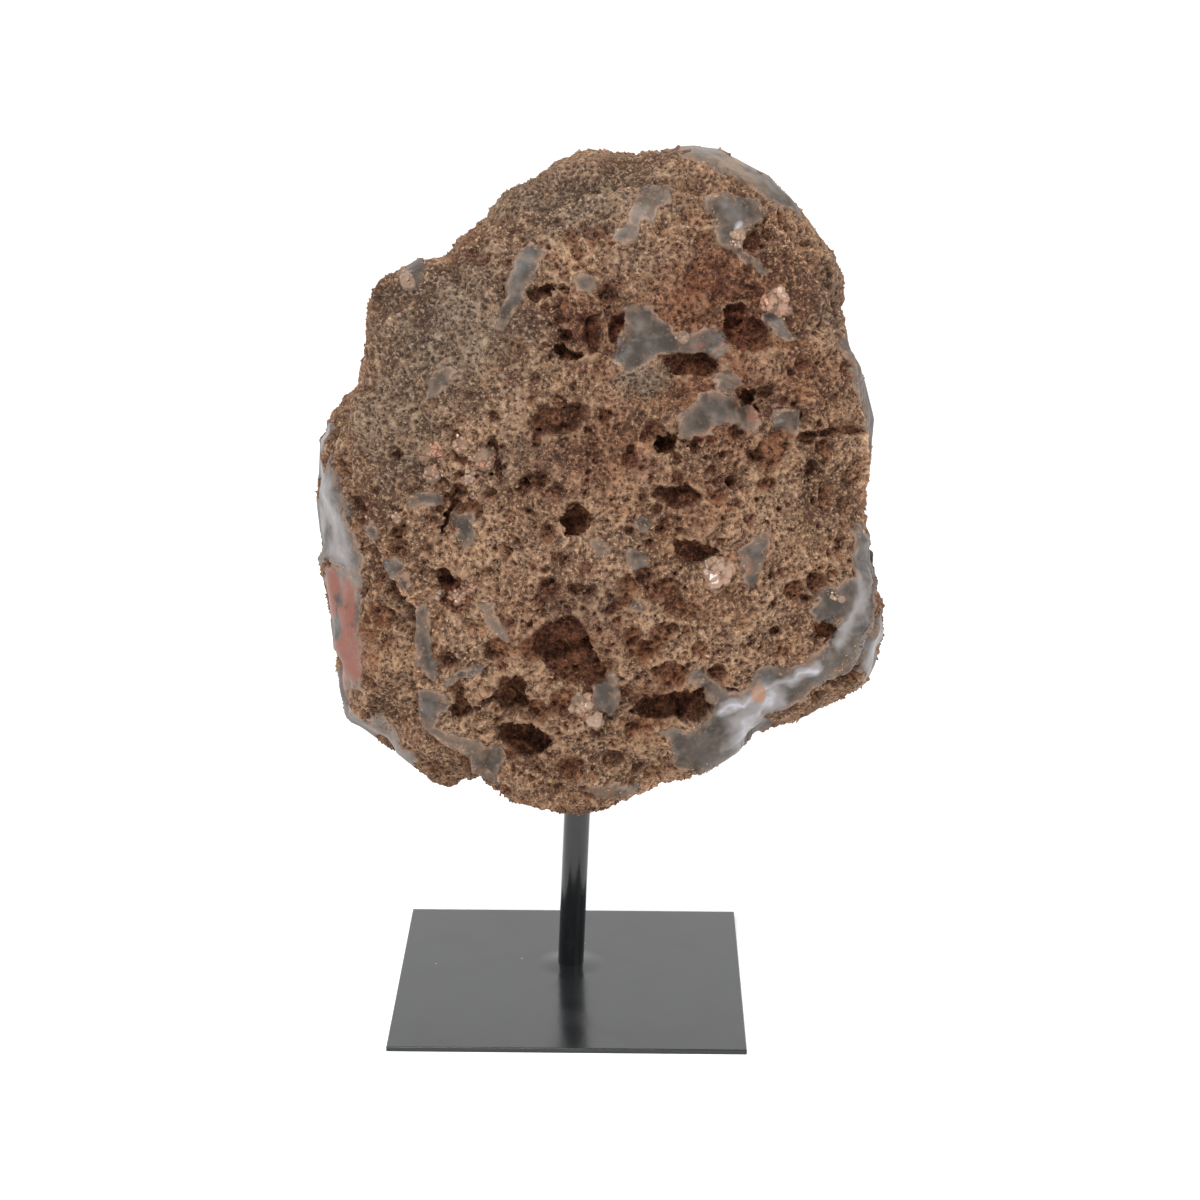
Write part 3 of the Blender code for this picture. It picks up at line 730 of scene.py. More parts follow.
def surface_marks(points):
    """What the stone's surface is made of at each point, as a named value for each kind."""
    seen, depth = seen_at(points)
    unit = depth / focal_units() / MM
    front = front_share(points)
    wandering = ragged(seen, points)
    patches = [inside_distance(wandering, outline) for outline in CHALCEDONY.values()]
    patches += [radius * spot(wandering, x, y, radius, radius) for x, y, radius in CHALCEDONY_SPOTS]
    # Milky bands: partly the chalcedony's own colour, partly painted highlight
    milk_and_shine = [how * (1 - line_distance(wandering, line) / width) for line, width, how in MILKY_AND_SHINE_LINES.values()]
    marks = {
        "chalcedony": np.minimum(np.max(patches, 0) * unit, patch_end(seen, points) / MM),
        "milky_and_shine": np.clip(np.max(milk_and_shine, 0), 0, 1) * front,
    }
    stains = {
        "rust": RUST_STAINS, "pink": PINK_STAINS, "tan": TAN_AREAS, "red_brown": RED_BROWN_AREAS,
        "grey": GREY_AREAS,
    }
    for name, areas in stains.items():
        marks[name] = covered(wandering, areas, STAIN_STEEPNESS) * front
    in_hollow = np.max([spot(wandering, *place) for *place, _ in HOLLOWS], 0)
    # Painted shade in the hollows, with their darker colour
    marks["hollow"] = np.clip(HOLLOW_STEEPNESS * in_hollow, 0, 1) * front
    # Painted highlight on the lip round each hollow
    marks["lip"] = bell(in_hollow, *LIP_COLOUR_PLACE) * front
    # Painted shade in the pits, with their darker colour
    marks["pit"] = np.max(pit_fields(points, seen, front), 0)
    marks["pore"] = centre_distance(points, PORE_SPACING, SEEDS["pores"])
    # The rind's height, which sets painted shade in its dips and painted light on its heights
    marks["height"] = rind_height(points, RIND_LUMPS + RIND_GRIT) / MM
    lump = inside_lump(seen, wandering, unit * MM)
    # Painted shade in the crevice round the front lump
    marks["crevice"] = ledge_crevice(points, lump) * front
    # Painted highlight along the front lump's ledge
    marks["ledge"] = bell(lump / MM, *LEDGE_PLACE) * front
    marks["druse"] = hollow_inside(points) / MM
    clumps = [spot(seen, x, y, reach, reach) for x, y, reach, *_ in FRONT_CLUMPS.values()]
    marks["clump"] = np.max(clumps, 0) * (front > 0.5)
    return marks


def store_marks(mesh, marks):
    """Writes each mark into a mesh, as a value at each of its corners."""
    for name, values in marks.items():
        layer = mesh.attributes.new(name, "FLOAT", "POINT")
        layer.data.foreach_set("value", np.asarray(values, np.float32))


def mesh_points(mesh):
    """The places of a mesh's corners."""
    flat = np.empty(len(mesh.vertices) * 3, np.float32)
    mesh.vertices.foreach_get("co", flat)
    return flat.reshape(-1, 3).astype(float)


def mesh_normals(mesh):
    """The normals at a mesh's corners."""
    flat = np.empty(len(mesh.vertices) * 3, np.float32)
    mesh.vertices.foreach_get("normal", flat)
    return flat.reshape(-1, 3).astype(float)


def mesh_corners(mesh):
    """The three corners of each of the mesh's triangles."""
    mesh.calc_loop_triangles()
    flat = np.empty(len(mesh.loop_triangles) * 3, np.int32)
    mesh.loop_triangles.foreach_get("vertices", flat)
    return flat.reshape(-1, 3)


def set_mesh_points(mesh, points):
    """Moves a mesh's corners to new places."""
    mesh.vertices.foreach_set("co", points.astype(np.float32).ravel())
    mesh.update()


def new_piece(name, mesh, material, slot, *nodes):
    """Puts a mesh in the scene as a piece that stands for CAD nodes and moves with them."""
    piece = bpy.data.objects.new(name, mesh)
    bpy.context.scene.collection.objects.link(piece)
    mesh.materials.clear()
    mesh.materials.append(material)
    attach(piece, "root")
    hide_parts(*nodes)
    return piece


def applied(mesh, add_modifiers):
    """The mesh with modifiers applied."""
    thing = bpy.data.objects.new("work", mesh)
    bpy.context.scene.collection.objects.link(thing)
    add_modifiers(thing)
    evaluated = thing.evaluated_get(bpy.context.evaluated_depsgraph_get())
    result = bpy.data.meshes.new_from_object(evaluated)
    bpy.data.objects.remove(thing)
    return result


def fine_stone_mesh():
    """The CAD stone as an even mesh, finer on the front, with its facets smoothed away."""
    def modifiers(thing):
        remesh = thing.modifiers.new("even", "REMESH")
        remesh.mode = "VOXEL"
        remesh.voxel_size = BODY_VOXEL
        soften = thing.modifiers.new("soft", "SMOOTH")
        soften.iterations = BODY_SMOOTHING
        soften.factor = BODY_SMOOTHING_SHARE

    mesh = applied(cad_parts["agate_stone"].data.copy(), modifiers)
    bm = bmesh.new()
    bm.from_mesh(mesh)
    for _ in range(FRONT_CUTS):
        bm.verts.index_update()
        on_front = behind_rim(np.array([v.co for v in bm.verts])) < FRONT_CUTS_END
        edges = [e for e in bm.edges if on_front[e.verts[0].index] and on_front[e.verts[1].index]]
        bmesh.ops.subdivide_edges(bm, edges=edges, cuts=1, use_grid_fill=True)
    bmesh.ops.triangulate(bm, faces=bm.faces)
    bm.to_mesh(mesh)
    bm.free()
    mesh.name = SURFACE_MESH
    return mesh


def fit_outline(points):
    """Moves the points across the line of sight so that the stone's silhouette is the drawn one."""
    right, up, _ = (np.array(axis) for axis in eye_axes())
    seen, depth = seen_at(points)
    away = (seen - MIDDLE_SEEN) * (1, -1)
    angle, radius = np.arctan2(away[:, 1], away[:, 0]), np.hypot(away[:, 0], away[:, 1])
    bins = ((angle + math.pi) / (2 * math.pi) * OUTLINE_BINS).astype(int) % OUTLINE_BINS
    now = np.zeros(OUTLINE_BINS)
    np.maximum.at(now, bins, radius)
    drawn = (np.array(SILHOUETTE) - MIDDLE_SEEN) * (1, -1)
    middles = (np.arange(OUTLINE_BINS) + 0.5) / OUTLINE_BINS * 2 * math.pi - math.pi
    fine = np.linspace(0, 1, OUTLINE_STEPS, endpoint=False)[:, None, None]
    run = (drawn * (1 - fine) + np.roll(drawn, -1, 0) * fine).transpose(1, 0, 2).reshape(-1, 2)
    run_angle = np.arctan2(run[:, 1], run[:, 0])
    order = np.argsort(run_angle)
    wanted = np.interp(middles, run_angle[order], np.hypot(*run[order].T), period=2 * math.pi)
    change = np.interp(angle, middles, wanted - now, period=2 * math.pi)
    outline = np.interp(angle, middles, now, period=2 * math.pi)
    weight = smooth_step((radius / outline - OUTLINE_PULL_START) / (1 - OUTLINE_PULL_START))
    shift = (change * weight * depth / focal_units())[:, None]
    outward = away / np.maximum(radius, 1)[:, None]
    return points + shift * (outward[:, :1] * right + outward[:, 1:] * up)


def body_relief(points, marks):
    """How far the fine surface stands out of the smoothed stone at each point."""
    seen, depth = seen_at(points)
    front = front_share(points)
    wandering = ragged(seen, points)
    unit = depth / focal_units()
    lump = inside_lump(seen, wandering, unit)
    relief = LUMP_EDGE_RISE * (smooth_step(0.5 + lump / LUMP_EDGE_WIDTH) - 0.5) * front
    relief -= LUMP_CREVICE_DEPTH * ledge_crevice(points, lump) * front
    for *place, deep in HOLLOWS:
        near = spot(wandering, *place)
        relief -= deep * smooth_step(HOLLOW_STEEPNESS * near) * front
        relief += LIP_RISE * bell(near, *LIP_PLACE) * front
    for x, y, reach, *_ in FRONT_CLUMPS.values():
        bump = smooth_step(CLUMP_STEEPNESS * spot(seen, x, y, reach, reach))
        relief += CLUMP_RISE * reach / CLUMP_USUAL_RADIUS * bump * front
    smooth = smooth_step(0.5 + marks["chalcedony"] / PATCH_EDGE_WIDTH)
    lined = smooth_step(marks["druse"] / DRUSE_EDGE_WIDTH)
    for (*_, deep), field in zip(PIT_FIELDS, pit_fields(points, seen, front)):
        relief -= deep * field * (1 - smooth) * (1 - lined)
    wall = smooth_step((marks["pore"] - PORE_FLOOR) / (PORE_WALL - PORE_FLOOR))
    grit = rind_height(points, RIND_GRIT) + PORE_DEPTH * (wall - 0.5) * front
    left_in_druse = 1 - LOST_IN_DRUSE * lined
    relief += rind_height(points, RIND_LUMPS) * (1 - LUMPS_LOST * smooth) * left_in_druse
    return relief + PATCH_RISE * smooth + grit * (1 - GRIT_LOST * smooth) * left_in_druse


class Shader:
    """A short way to write a material's nodes."""

    def __init__(self, name):
        self.material = bpy.data.materials.new(name)
        self.material.use_nodes = True
        self.tree = self.material.node_tree
        self.surface = self.tree.nodes["Principled BSDF"]
        self.place = self.node("ShaderNodeTexCoord").outputs["Object"]

    def node(self, kind, **settings):
        """Adds a node of a kind, with its settings."""
        node = self.tree.nodes.new(kind)
        for name, value in settings.items():
            setattr(node, name, value)
        return node

    def feed(self, socket, value):
        """Links or sets an input."""
        if isinstance(value, bpy.types.NodeSocket):
            self.tree.links.new(value, socket)
        elif isinstance(value, (tuple, Color)):
            socket.default_value = tuple(value)[:3] + (1.0,)
        else:
            socket.default_value = value

    def set(self, **values):
        """Sets or links the surface's own inputs."""
        for name, value in values.items():
            self.feed(self.surface.inputs[name.replace("_", " ")], value)

    def noise(self, size, detail=3.0, sharp=0.55):
        """Noise whose spots are about the given size."""
        node = self.node("ShaderNodeTexNoise")
        self.feed(node.inputs["Vector"], self.place)
        self.feed(node.inputs["Scale"], 1 / size)
        self.feed(node.inputs["Detail"], detail)
        self.feed(node.inputs["Roughness"], sharp)
        return node.outputs["Fac"]

    def cells(self, size):
        """How far each place is from the nearest of many centres, in shares of their spacing."""
        node = self.node("ShaderNodeTexVoronoi")
        self.feed(node.inputs["Vector"], self.place)
        self.feed(node.inputs["Scale"], 1 / size)
        return node.outputs["Distance"]

    def mark(self, name):
        """One of the values stored in the mesh."""
        return self.node("ShaderNodeAttribute", attribute_name=name).outputs["Fac"]

    def math(self, operation, a, b=0.0):
        """Arithmetic on one or two values."""
        node = self.node("ShaderNodeMath", operation=operation)
        self.feed(node.inputs[0], a)
        self.feed(node.inputs[1], b)
        return node.outputs[0]

    def times(self, a, b):
        return self.math("MULTIPLY", a, b)

    def plus(self, a, b):
        return self.math("ADD", a, b)

    def wave(self, value, step):
        """A sine wave along the value, with the given step from crest to crest."""
        return self.math("SINE", self.times(value, 2 * math.pi / step))

    def step(self, value, low, high, first=0.0, last=1.0):
        """Goes smoothly from first to last as the value goes from low to high."""
        node = self.node("ShaderNodeMapRange", interpolation_type="SMOOTHSTEP")
        for socket, number in zip(node.inputs, (value, low, high, first, last)):
            self.feed(socket, number)
        return node.outputs[0]

    def blotches(self, size, low, high, detail=3.0, sharp=0.55):
        """Blotches of about the given size: noise that goes from 0 to 1 between two of its values."""
        return self.step(self.noise(size, detail, sharp), low, high)

    def mix(self, share, first, second, blend="MIX"):
        """The first colour where the share is 0 and the second, or the two blended, where it is 1."""
        node = self.node("ShaderNodeMix", data_type="RGBA", blend_type=blend)
        self.feed(node.inputs["Factor"], share)
        self.feed(node.inputs[6], first)
        self.feed(node.inputs[7], second)
        return node.outputs[2]

    def lay(self, colour, over, share, strength=1.0):
        """Lays a second colour over the first, where and as much as the share and the strength say."""
        return self.mix(self.times(share, strength), colour, over)

    def tint(self, colour, tint, share=1.0):
        """Multiplies a colour by a tint, where and as much as the share says."""
        return self.mix(share, colour, tint, "MULTIPLY")

    def bump(self, height, distance):
        """Roughens the shading by a height of 0 to 1 that stands for the given distance."""
        node = self.node("ShaderNodeBump")
        self.feed(node.inputs["Height"], height)
        self.feed(node.inputs["Distance"], distance)
        self.feed(self.surface.inputs["Normal"], node.outputs[0])


def stained_and_shaded(shader, colour):
    """Lays the stone's stains over a colour of the rind, with painted highlights on the hollows' lips and
    the lump's ledge, and painted shade with a darker colour in the pits, the crevice and the hollows.
    """
    colour = shader.tint(colour, GREY_TINT, shader.mark("grey"))
    colour = shader.tint(colour, RED_BROWN_TINT, shader.mark("red_brown"))
    # Stains, and the painted highlight on the hollows' lips
    for mark, (size, low, high, stain) in RIND_STAINS.items():
        share = shader.times(shader.mark(mark), shader.blotches(size, low, high))
        colour = shader.lay(colour, stain, share, strength=0.6)
    # Painted highlight along the front lump's ledge
    colour = shader.tint(colour, LEDGE_PAINTED_HIGHLIGHT, shader.mark("ledge"))
    # Painted shade, with the darker colour of the sunken rind, in the pits, the crevice and the hollows
    sunken_shade = shader.math("MAXIMUM", shader.mark("pit"), shader.mark("crevice"))
    sunken_shade = shader.math("MAXIMUM", sunken_shade, shader.mark("hollow"))
    return shader.tint(colour, SUNKEN_SHADE_TINT, sunken_shade)


def height_shaded(shader, red, tan):
    """A colour that drifts from red-brown to tan, with painted shade in the dips and painted light on the
    heights.
    """
    colour = shader.mix(shader.blotches(13 * MM, 0.38, 0.62, detail=4.0), red, tan)
    wander = shader.step(shader.noise(4 * MM), 0.3, 0.7, first=-0.7, last=0.7)
    height = shader.step(shader.plus(shader.mark("height"), wander), -1.7, 1.2)
    return shader.tint(colour, shader.mix(height, DIP_PAINTED_SHADE, HEIGHT_PAINTED_LIGHT))


def rind_colour(shader, settings):
    """Pores painted dark as shade between warm walls with pale tips, ochre blotches and pale grit."""
    warm = height_shaded(shader, RIND_RED, RIND_TAN)
    # Painted shade: the pores, and the middles of finer cells, take the rind's dark colour
    wall = shader.step(shader.mark("pore"), PORE_FLOOR - 0.04, PORE_WALL - 0.06)
    fine = shader.step(shader.cells(1.0 * MM), 0.15, 0.52, first=0.08)
    colour = shader.mix(shader.times(wall, fine), settings.rind_dark, warm)
    ochre = shader.times(shader.blotches(9 * MM, 0.5, 0.66), shader.blotches(0.9 * MM, 0.5, 0.62))
    colour = shader.lay(colour, OCHRE, ochre, strength=0.6)
    tip = shader.times(shader.step(shader.mark("pore"), 0.6, 0.9), shader.noise(1.2 * MM))
    grit = shader.times(shader.blotches(1.0 * MM, 0.52, 0.68, sharp=0.7), 0.75)
    return shader.lay(colour, settings.rind_light, shader.math("MAXIMUM", tip, grit))


def chalcedony_colour(shader, settings):
    """Cloudy grey, milky in its bands and with painted highlight where they shine, with tan, pink and rust
    where the marks say.
    """
    colour = shader.mix(shader.blotches(6 * MM, 0.36, 0.66, detail=5.0), settings.chalcedony, CLOUD)
    veil = shader.blotches(3 * MM, 0.47, 0.66, detail=4.0, sharp=0.65)
    colour = shader.lay(colour, VEIL, veil, strength=0.55)
    tan = shader.times(shader.mark("tan"), shader.blotches(5 * MM, 0.3, 0.6, detail=4.0))
    colour = shader.lay(colour, CHALCEDONY_TAN, tan, strength=0.8)
    milk_and_shine = shader.plus(shader.mark("milky_and_shine"), shader.noise(7 * MM, detail=2.0))
    colour = shader.lay(colour, settings.milky_and_shine, shader.step(milk_and_shine, 0.45, 1.25))
    # The brightest cores of the bands, partly a painted highlight
    colour = shader.lay(colour, MILKIEST_AND_SHINE, shader.step(milk_and_shine, 1.15, 1.6))
    pink = shader.plus(shader.mark("pink"), shader.noise(4 * MM))
    colour = shader.lay(colour, CHALCEDONY_PINK, shader.step(pink, 0.75, 1.35), strength=0.85)
    rust = shader.plus(shader.mark("rust"), shader.noise(3 * MM))
    return shader.lay(colour, CHALCEDONY_RUST, shader.step(rust, 0.8, 1.4), strength=0.7)


def body_material(settings):
    """Rind over the whole stone, with smooth chalcedony in its windows and banded round the hollow."""
    shader = Shader("agate_body")
    rind = stained_and_shaded(shader, rind_colour(shader, settings))
    wander = shader.times(shader.math("SUBTRACT", shader.noise(1.6 * MM), 0.5), EDGE_WANDER)

    edge = shader.plus(shader.mark("chalcedony"), wander)
    smooth = chalcedony_colour(shader, settings)
    margin = shader.times(shader.step(edge, 0.5, 2.6, 1.0, 0.0), shader.blotches(6 * MM, 0.35, 0.6))
    smooth = shader.lay(smooth, MARGIN, margin, strength=0.75)
    lip = shader.times(shader.step(edge, 0.3, 1.2, 1.0, 0.0), shader.blotches(5 * MM, 0.42, 0.58))
    smooth = shader.lay(smooth, MARGIN_LIP, lip, strength=0.8)
    specks = shader.blotches(1.1 * MM, 0.54, 0.63, sharp=0.7)
    smooth = shader.lay(smooth, rind, specks, shader.step(edge, 0.4, 3.4, 0.75, 0.12))
    inside = shader.step(edge, -0.12, 0.15)
    colour = shader.lay(rind, smooth, inside)

    druse = shader.plus(shader.mark("druse"), wander)
    narrow, wide = (shader.wave(druse, step) for step in BAND_STEPS)
    bands = shader.plus(shader.times(narrow, 0.5), wide)
    banded = shader.mix(shader.step(bands, -1.3, 1.3), BAND_DARK, BAND_LIGHT)
    near_edge = shader.times(shader.step(druse, *BANDS_START), shader.step(druse, *BANDS_END, 1.0, 0.0))
    colour = shader.lay(colour, banded, near_edge)
    colour = shader.lay(colour, DRUSE_BED, shader.step(druse, *BANDS_END))
    colour = shader.lay(colour, CLUMP_BED, shader.step(shader.mark("clump"), 0.05, 0.2))

    polish = shader.math("MAXIMUM", inside, near_edge)
    grain = shader.noise(0.8 * MM, sharp=0.7)
    shader.bump(shader.times(grain, shader.step(polish, 0, 1, 1.0, 0.06)), 0.9 * MM)
    shader.set(Base_Color=colour, Roughness=shader.step(polish, 0, 1, 0.9, 0.44), Specular_IOR_Level=0.24)
    return shader.material


def grain_material(settings):
    """The raised grains of the rind, each of its own tone, stained and given the rind's painted shade and
    light.
    """
    shader = Shader("rind_grains")
    pale = shader.step(shader.mark("tone"), 0.3, 1.0, last=0.7)
    colour = shader.lay(height_shaded(shader, GRAIN_RED, GRAIN_TAN), settings.rind_light, pale)
    shader.set(Base_Color=stained_and_shaded(shader, colour), Roughness=0.85, Specular_IOR_Level=0.2)
    return shader.material


def quartz_material(name, pale, cloudy, warmth):
    """Milky quartz, tinted from white to orange by each crystal's warmth."""
    shader = Shader(name)
    cool = shader.mix(shader.blotches(3 * MM, 0.35, 0.65), pale, cloudy)
    colour = shader.lay(cool, WARM_QUARTZ, shader.mark("tone"), warmth)
    shader.bump(shader.noise(0.5 * MM, detail=2.0), 0.05 * MM)
    shader.set(Base_Color=colour, Roughness=0.24, IOR=1.54)
    return shader.material


class AGATE_OT_stone_body(bpy.types.Operator):
    """Make the stone's fine surface: rind, chalcedony windows and hollows"""

    bl_idname = "agate.stone_body"
    bl_label = "Stone Body"

    def execute(self, context):
        mesh = fine_stone_mesh()
        points = fit_outline(mesh_points(mesh))
        set_mesh_points(mesh, points)
        marks = surface_marks(points)
        relief = body_relief(points, marks)
        points = fit_outline(points + mesh_normals(mesh) * relief[:, None])
        set_mesh_points(mesh, points)
        corners = mesh_corners(mesh)
        middles = points[corners].mean(1)
        behind = behind_rim(middles) > 0
        from_left = np.argsort(np.where(behind, np.inf, middles[:, 0]))[:np.count_nonzero(~behind)]
        shares = dict(zip(FRONT_PIECES, np.array_split(from_left, len(FRONT_PIECES))))
        shares[BACK_PIECE] = np.flatnonzero(behind)
        material = body_material(context.scene.agate_stone)
        for name, share in shares.items():
            used, faces = np.unique(corners[share], return_inverse=True)
            stretch = bpy.data.meshes.new(name)
            stretch.from_pydata(points[used].tolist(), [], faces.reshape(-1, 3).tolist())
            store_marks(stretch, {mark: values[used] for mark, values in marks.items()})
            stretch.normals_split_custom_set_from_vertices(mesh_normals(mesh)[used].tolist())
            new_piece(name, stretch, material, "agate", "agate_stone")
        return {"FINISHED"}


def sampled_surface(mesh, spacing, seed):
    """Places spread over a mesh at about the given spacing, with their normals."""
    points, corners = mesh_points(mesh), mesh_corners(mesh)
    a, b, c = (points[corners[:, k]] for k in range(3))
    cross = np.cross(b - a, c - a)
    area = np.linalg.norm(cross, axis=1) / 2
    chance = np.random.default_rng(seed)
    count = int(area.sum() / spacing**2 * TRIES_PER_PLACE)
    chosen = chance.choice(len(area), count, p=area / area.sum())
    u, v = chance.random((2, count))
    flip = u + v > 1
    u, v = np.where(flip, 1 - u, u)[:, None], np.where(flip, 1 - v, v)[:, None]
    places = a[chosen] * (1 - u - v) + b[chosen] * u + c[chosen] * v
    normals = cross[chosen] / (2 * area[chosen, None])
    cell = np.floor(places / spacing).astype(int)
    _, first = np.unique(cell, axis=0, return_index=True)
    first.sort()
    return places[first], normals[first], chance


def ridge_mesh(name, places, normals, sizes, chance):
    """The walls between the rind's pores: many small ridges at random turns, rooted in the surface."""
    count = len(places)
    spin = chance.normal(size=(count, 3))
    side = np.cross(normals, spin)
    side /= np.linalg.norm(side, axis=1, keepdims=True)
    other = np.cross(normals, side)
    long = side * (chance.uniform(*RIDGE_LENGTHS, count) * sizes)[:, None]
    wide = other * (chance.uniform(*RIDGE_WIDTHS, count) * sizes)[:, None]
    top = normals * (chance.uniform(*RIDGE_HEIGHTS, count) * sizes)[:, None]
    top = top + chance.normal(scale=RIDGE_TOP_SHIFT, size=(count, 1)) * long
    root = -normals * (RIDGE_ROOT * sizes)[:, None]
    corners = np.stack([top, root + long, root + wide, root - long, root - wide], 1) + places[:, None]
    faces = np.array(RIDGE_FACES)[None] + RIDGE_CORNERS * np.arange(count)[:, None, None]
    mesh = bpy.data.meshes.new(name)
    mesh.from_pydata(corners.reshape(-1, 3).tolist(), [], faces.reshape(-1, 3).tolist())
    return mesh


def make_ridges(names, spacing, size, on_front, seed):
    """Covers one side of the rind with ridges, as pieces that share it from left to right."""
    settings = bpy.context.scene.agate_stone
    places, normals, chance = sampled_surface(bpy.data.meshes[SURFACE_MESH], spacing, seed)
    marks = surface_marks(places)
    side = (behind_rim(places) < 0) == on_front
    smooth = marks["chalcedony"] + chance.normal(scale=RIDGE_EDGE_SCATTER, size=len(places)) > 0
    free = (marks["druse"] < RIDGE_DRUSE_END) & (marks["clump"] < RIDGE_CLUMP_END)
    kept = np.flatnonzero(side & ~smooth & free)
    kept = kept[np.argsort(places[kept, 0])]
    material = bpy.data.materials.get("rind_grains") or grain_material(settings)
    for name, share in zip(names, np.array_split(kept, len(names))):
        sizes = size * chance.uniform(*RIDGE_SIZES, len(share))
        mesh = ridge_mesh(name, places[share], normals[share], sizes, chance)
        own = {mark: values[share] for mark, values in marks.items()}
        own["tone"] = chance.beta(*RIDGE_TONES, len(share))
        store_marks(mesh, {mark: np.repeat(values, RIDGE_CORNERS) for mark, values in own.items()})
        new_piece(name, mesh, material, "agate", "agate_stone")


class AGATE_OT_rind_grains(bpy.types.Operator):
    """Scatter the rind's raised grains over the stone"""

    bl_idname = "agate.rind_grains"
    bl_label = "Rind Grains"

    def execute(self, context):
        settings = context.scene.agate_stone
        spacing, size = settings.grain_spacing, settings.grain_size
        fronts = ["rind_front_left", "rind_front_right"]
        make_ridges(fronts, spacing, size, True, SEEDS["front_ridges"])
        make_ridges(["rind_back"], spacing, BACK_RIDGE_SIZE * size, False, SEEDS["back_ridges"])
        return {"FINISHED"}


def add_crystal(verts, faces, place, direction, radius, height, turn):
    """Adds a six-sided crystal with a pointed end."""
    upright = direction.to_track_quat("Z", "Y")
    low = len(verts)
    high, tip = low + CRYSTAL_SIDES, low + CRYSTAL_CORNERS - 1
    for along, width in CRYSTAL_RINGS:
        for k in range(CRYSTAL_SIDES):
            angle = turn + k * 2 * math.pi / CRYSTAL_SIDES
            across, over = radius * width * math.cos(angle), radius * width * math.sin(angle)
            verts.append(place + upright @ Vector((across, over, along * height)))
    verts.append(place + upright @ Vector((0, 0, height)))
    faces.append([low + k for k in reversed(range(CRYSTAL_SIDES))])
    for k in range(CRYSTAL_SIDES):
        after = (k + 1) % CRYSTAL_SIDES
        faces.append([low + k, low + after, high + after, high + k])
        faces.append([high + k, high + after, tip])


def crystal_mesh(name, crystals):
    """A mesh of many crystals, from tuples of place, direction, radius, height, turn and tone."""
    verts, faces = [], []
    for *shape, _ in crystals:
        add_crystal(verts, faces, *shape)
    mesh = bpy.data.meshes.new(name)
    mesh.from_pydata(verts, [], faces)
    store_marks(mesh, {"tone": np.repeat([tone for *_, tone in crystals], CRYSTAL_CORNERS)})
    return mesh


def leaning(normal, most, chance):
    """A direction that leans off a normal by chance."""
    lean = Vector([chance.uniform(-most, most) for _ in range(3)])
    return Vector(normal) + lean


def on_surface(tree, x, y):
    """The place and normal on the stone that the eye sees at a picture place, or None off the stone."""
    right, up, forward = eye_axes()
    half = PICTURE_WIDTH / 2
    way = forward + right * (x - half) / focal_units() - up * (y - half) / focal_units()
    place, normal, _, _ = tree.ray_cast(Vector(EYE), way.normalized())
    return (place, normal) if place else None


class AGATE_OT_front_crystals(bpy.types.Operator):
    """Grow the small clumps of crystals on the front"""

    bl_idname = "agate.front_crystals"
    bl_label = "Front Crystals"

    def execute(self, context):
        mesh = bpy.data.meshes[SURFACE_MESH]
        tree = BVHTree.FromPolygons(mesh_points(mesh).tolist(), mesh_corners(mesh).tolist())
        chance = random.Random(SEEDS["front_crystals"])
        crystals = []
        for x, y, reach, count, radius, warmth in FRONT_CLUMPS.values():
            for _ in range(count):
                angle, far = chance.uniform(0, 2 * math.pi), reach * math.sqrt(chance.random())
                found = on_surface(tree, x + far * math.cos(angle), y + far * math.sin(angle))
                if not found:
                    continue
                place, normal = found
                direction = leaning(normal, CLUMP_CRYSTAL_LEAN, chance).normalized()
                size = radius * chance.uniform(*CLUMP_CRYSTAL_SIZES)
                height = CLUMP_CRYSTAL_HEIGHT * size
                tone = warmth + chance.uniform(-CLUMP_WARMTH_SWING, CLUMP_WARMTH_SWING)
                tone = min(1.0, max(0.0, tone))
                crystals.append((place, direction, size, height, chance.uniform(0, 1), tone))
        mesh = crystal_mesh("front_crystals", crystals)
        pale = context.scene.agate_stone.quartz
        material = quartz_material("front_quartz", pale, FRONT_QUARTZ_CLOUDY, warmth=1.0)
        new_piece("front_crystals", mesh, material, "agate", "agate_stone")
        return {"FINISHED"}


class AGATE_OT_back_druse(bpy.types.Operator):
    """Line the hollow on the back with quartz crystals"""

    bl_idname = "agate.back_druse"
    bl_label = "Back Druse"

    def execute(self, context):
        settings = context.scene.agate_stone
        surface = bpy.data.meshes[SURFACE_MESH]
        places, normals, _ = sampled_surface(surface, DRUSE_SPACING, SEEDS["druse_places"])
        inside = hollow_inside(places)
        kept = np.flatnonzero(inside > DRUSE_INSET)[:settings.druse_crystals]
        chance = random.Random(SEEDS["druse_crystals"])
        crystals = []
        for place, normal, deep in zip(places[kept], normals[kept], inside[kept]):
            direction = leaning(normal, DRUSE_LEAN, chance).normalized()
            size = chance.uniform(*DRUSE_RADII) * MM * (1 + min(deep / DRUSE_FULL_GROWN, 1.0))
            height = size * chance.uniform(*DRUSE_HEIGHTS)
            turn = chance.uniform(0, 1)
            crystals.append((Vector(place), direction, size, height, turn, chance.random() ** 3))
        mesh = crystal_mesh("back_druse", crystals)
        material = quartz_material("back_quartz", settings.druse_quartz, BACK_QUARTZ_CLOUDY, warmth=0.4)
        new_piece("back_druse", mesh, material, "agate", "agate_stone")
        return {"FINISHED"}


def paint_material(settings, name):
    """Glossy black paint with orange-peel, dust and worn specks."""
    shader = Shader(name)
    dust = shader.blotches(0.5 * MM, 0.66, 0.74, detail=2.0)
    colour = shader.lay(settings.paint, DUST, dust, strength=0.12)
    specks = shader.step(shader.cells(11 * MM), 0.03, 0.05, 1.0, 0.0)
    colour = shader.lay(colour, WORN_SPECK, specks)
    smear = shader.blotches(16 * MM, 0.35, 0.7)
    shader.bump(shader.noise(1.4 * MM, detail=2.0), 0.02 * MM)
    shader.set(Base_Color=colour, Roughness=shader.step(smear, 0, 1, 0.16, 0.24), IOR=1.5)
    return shader.material


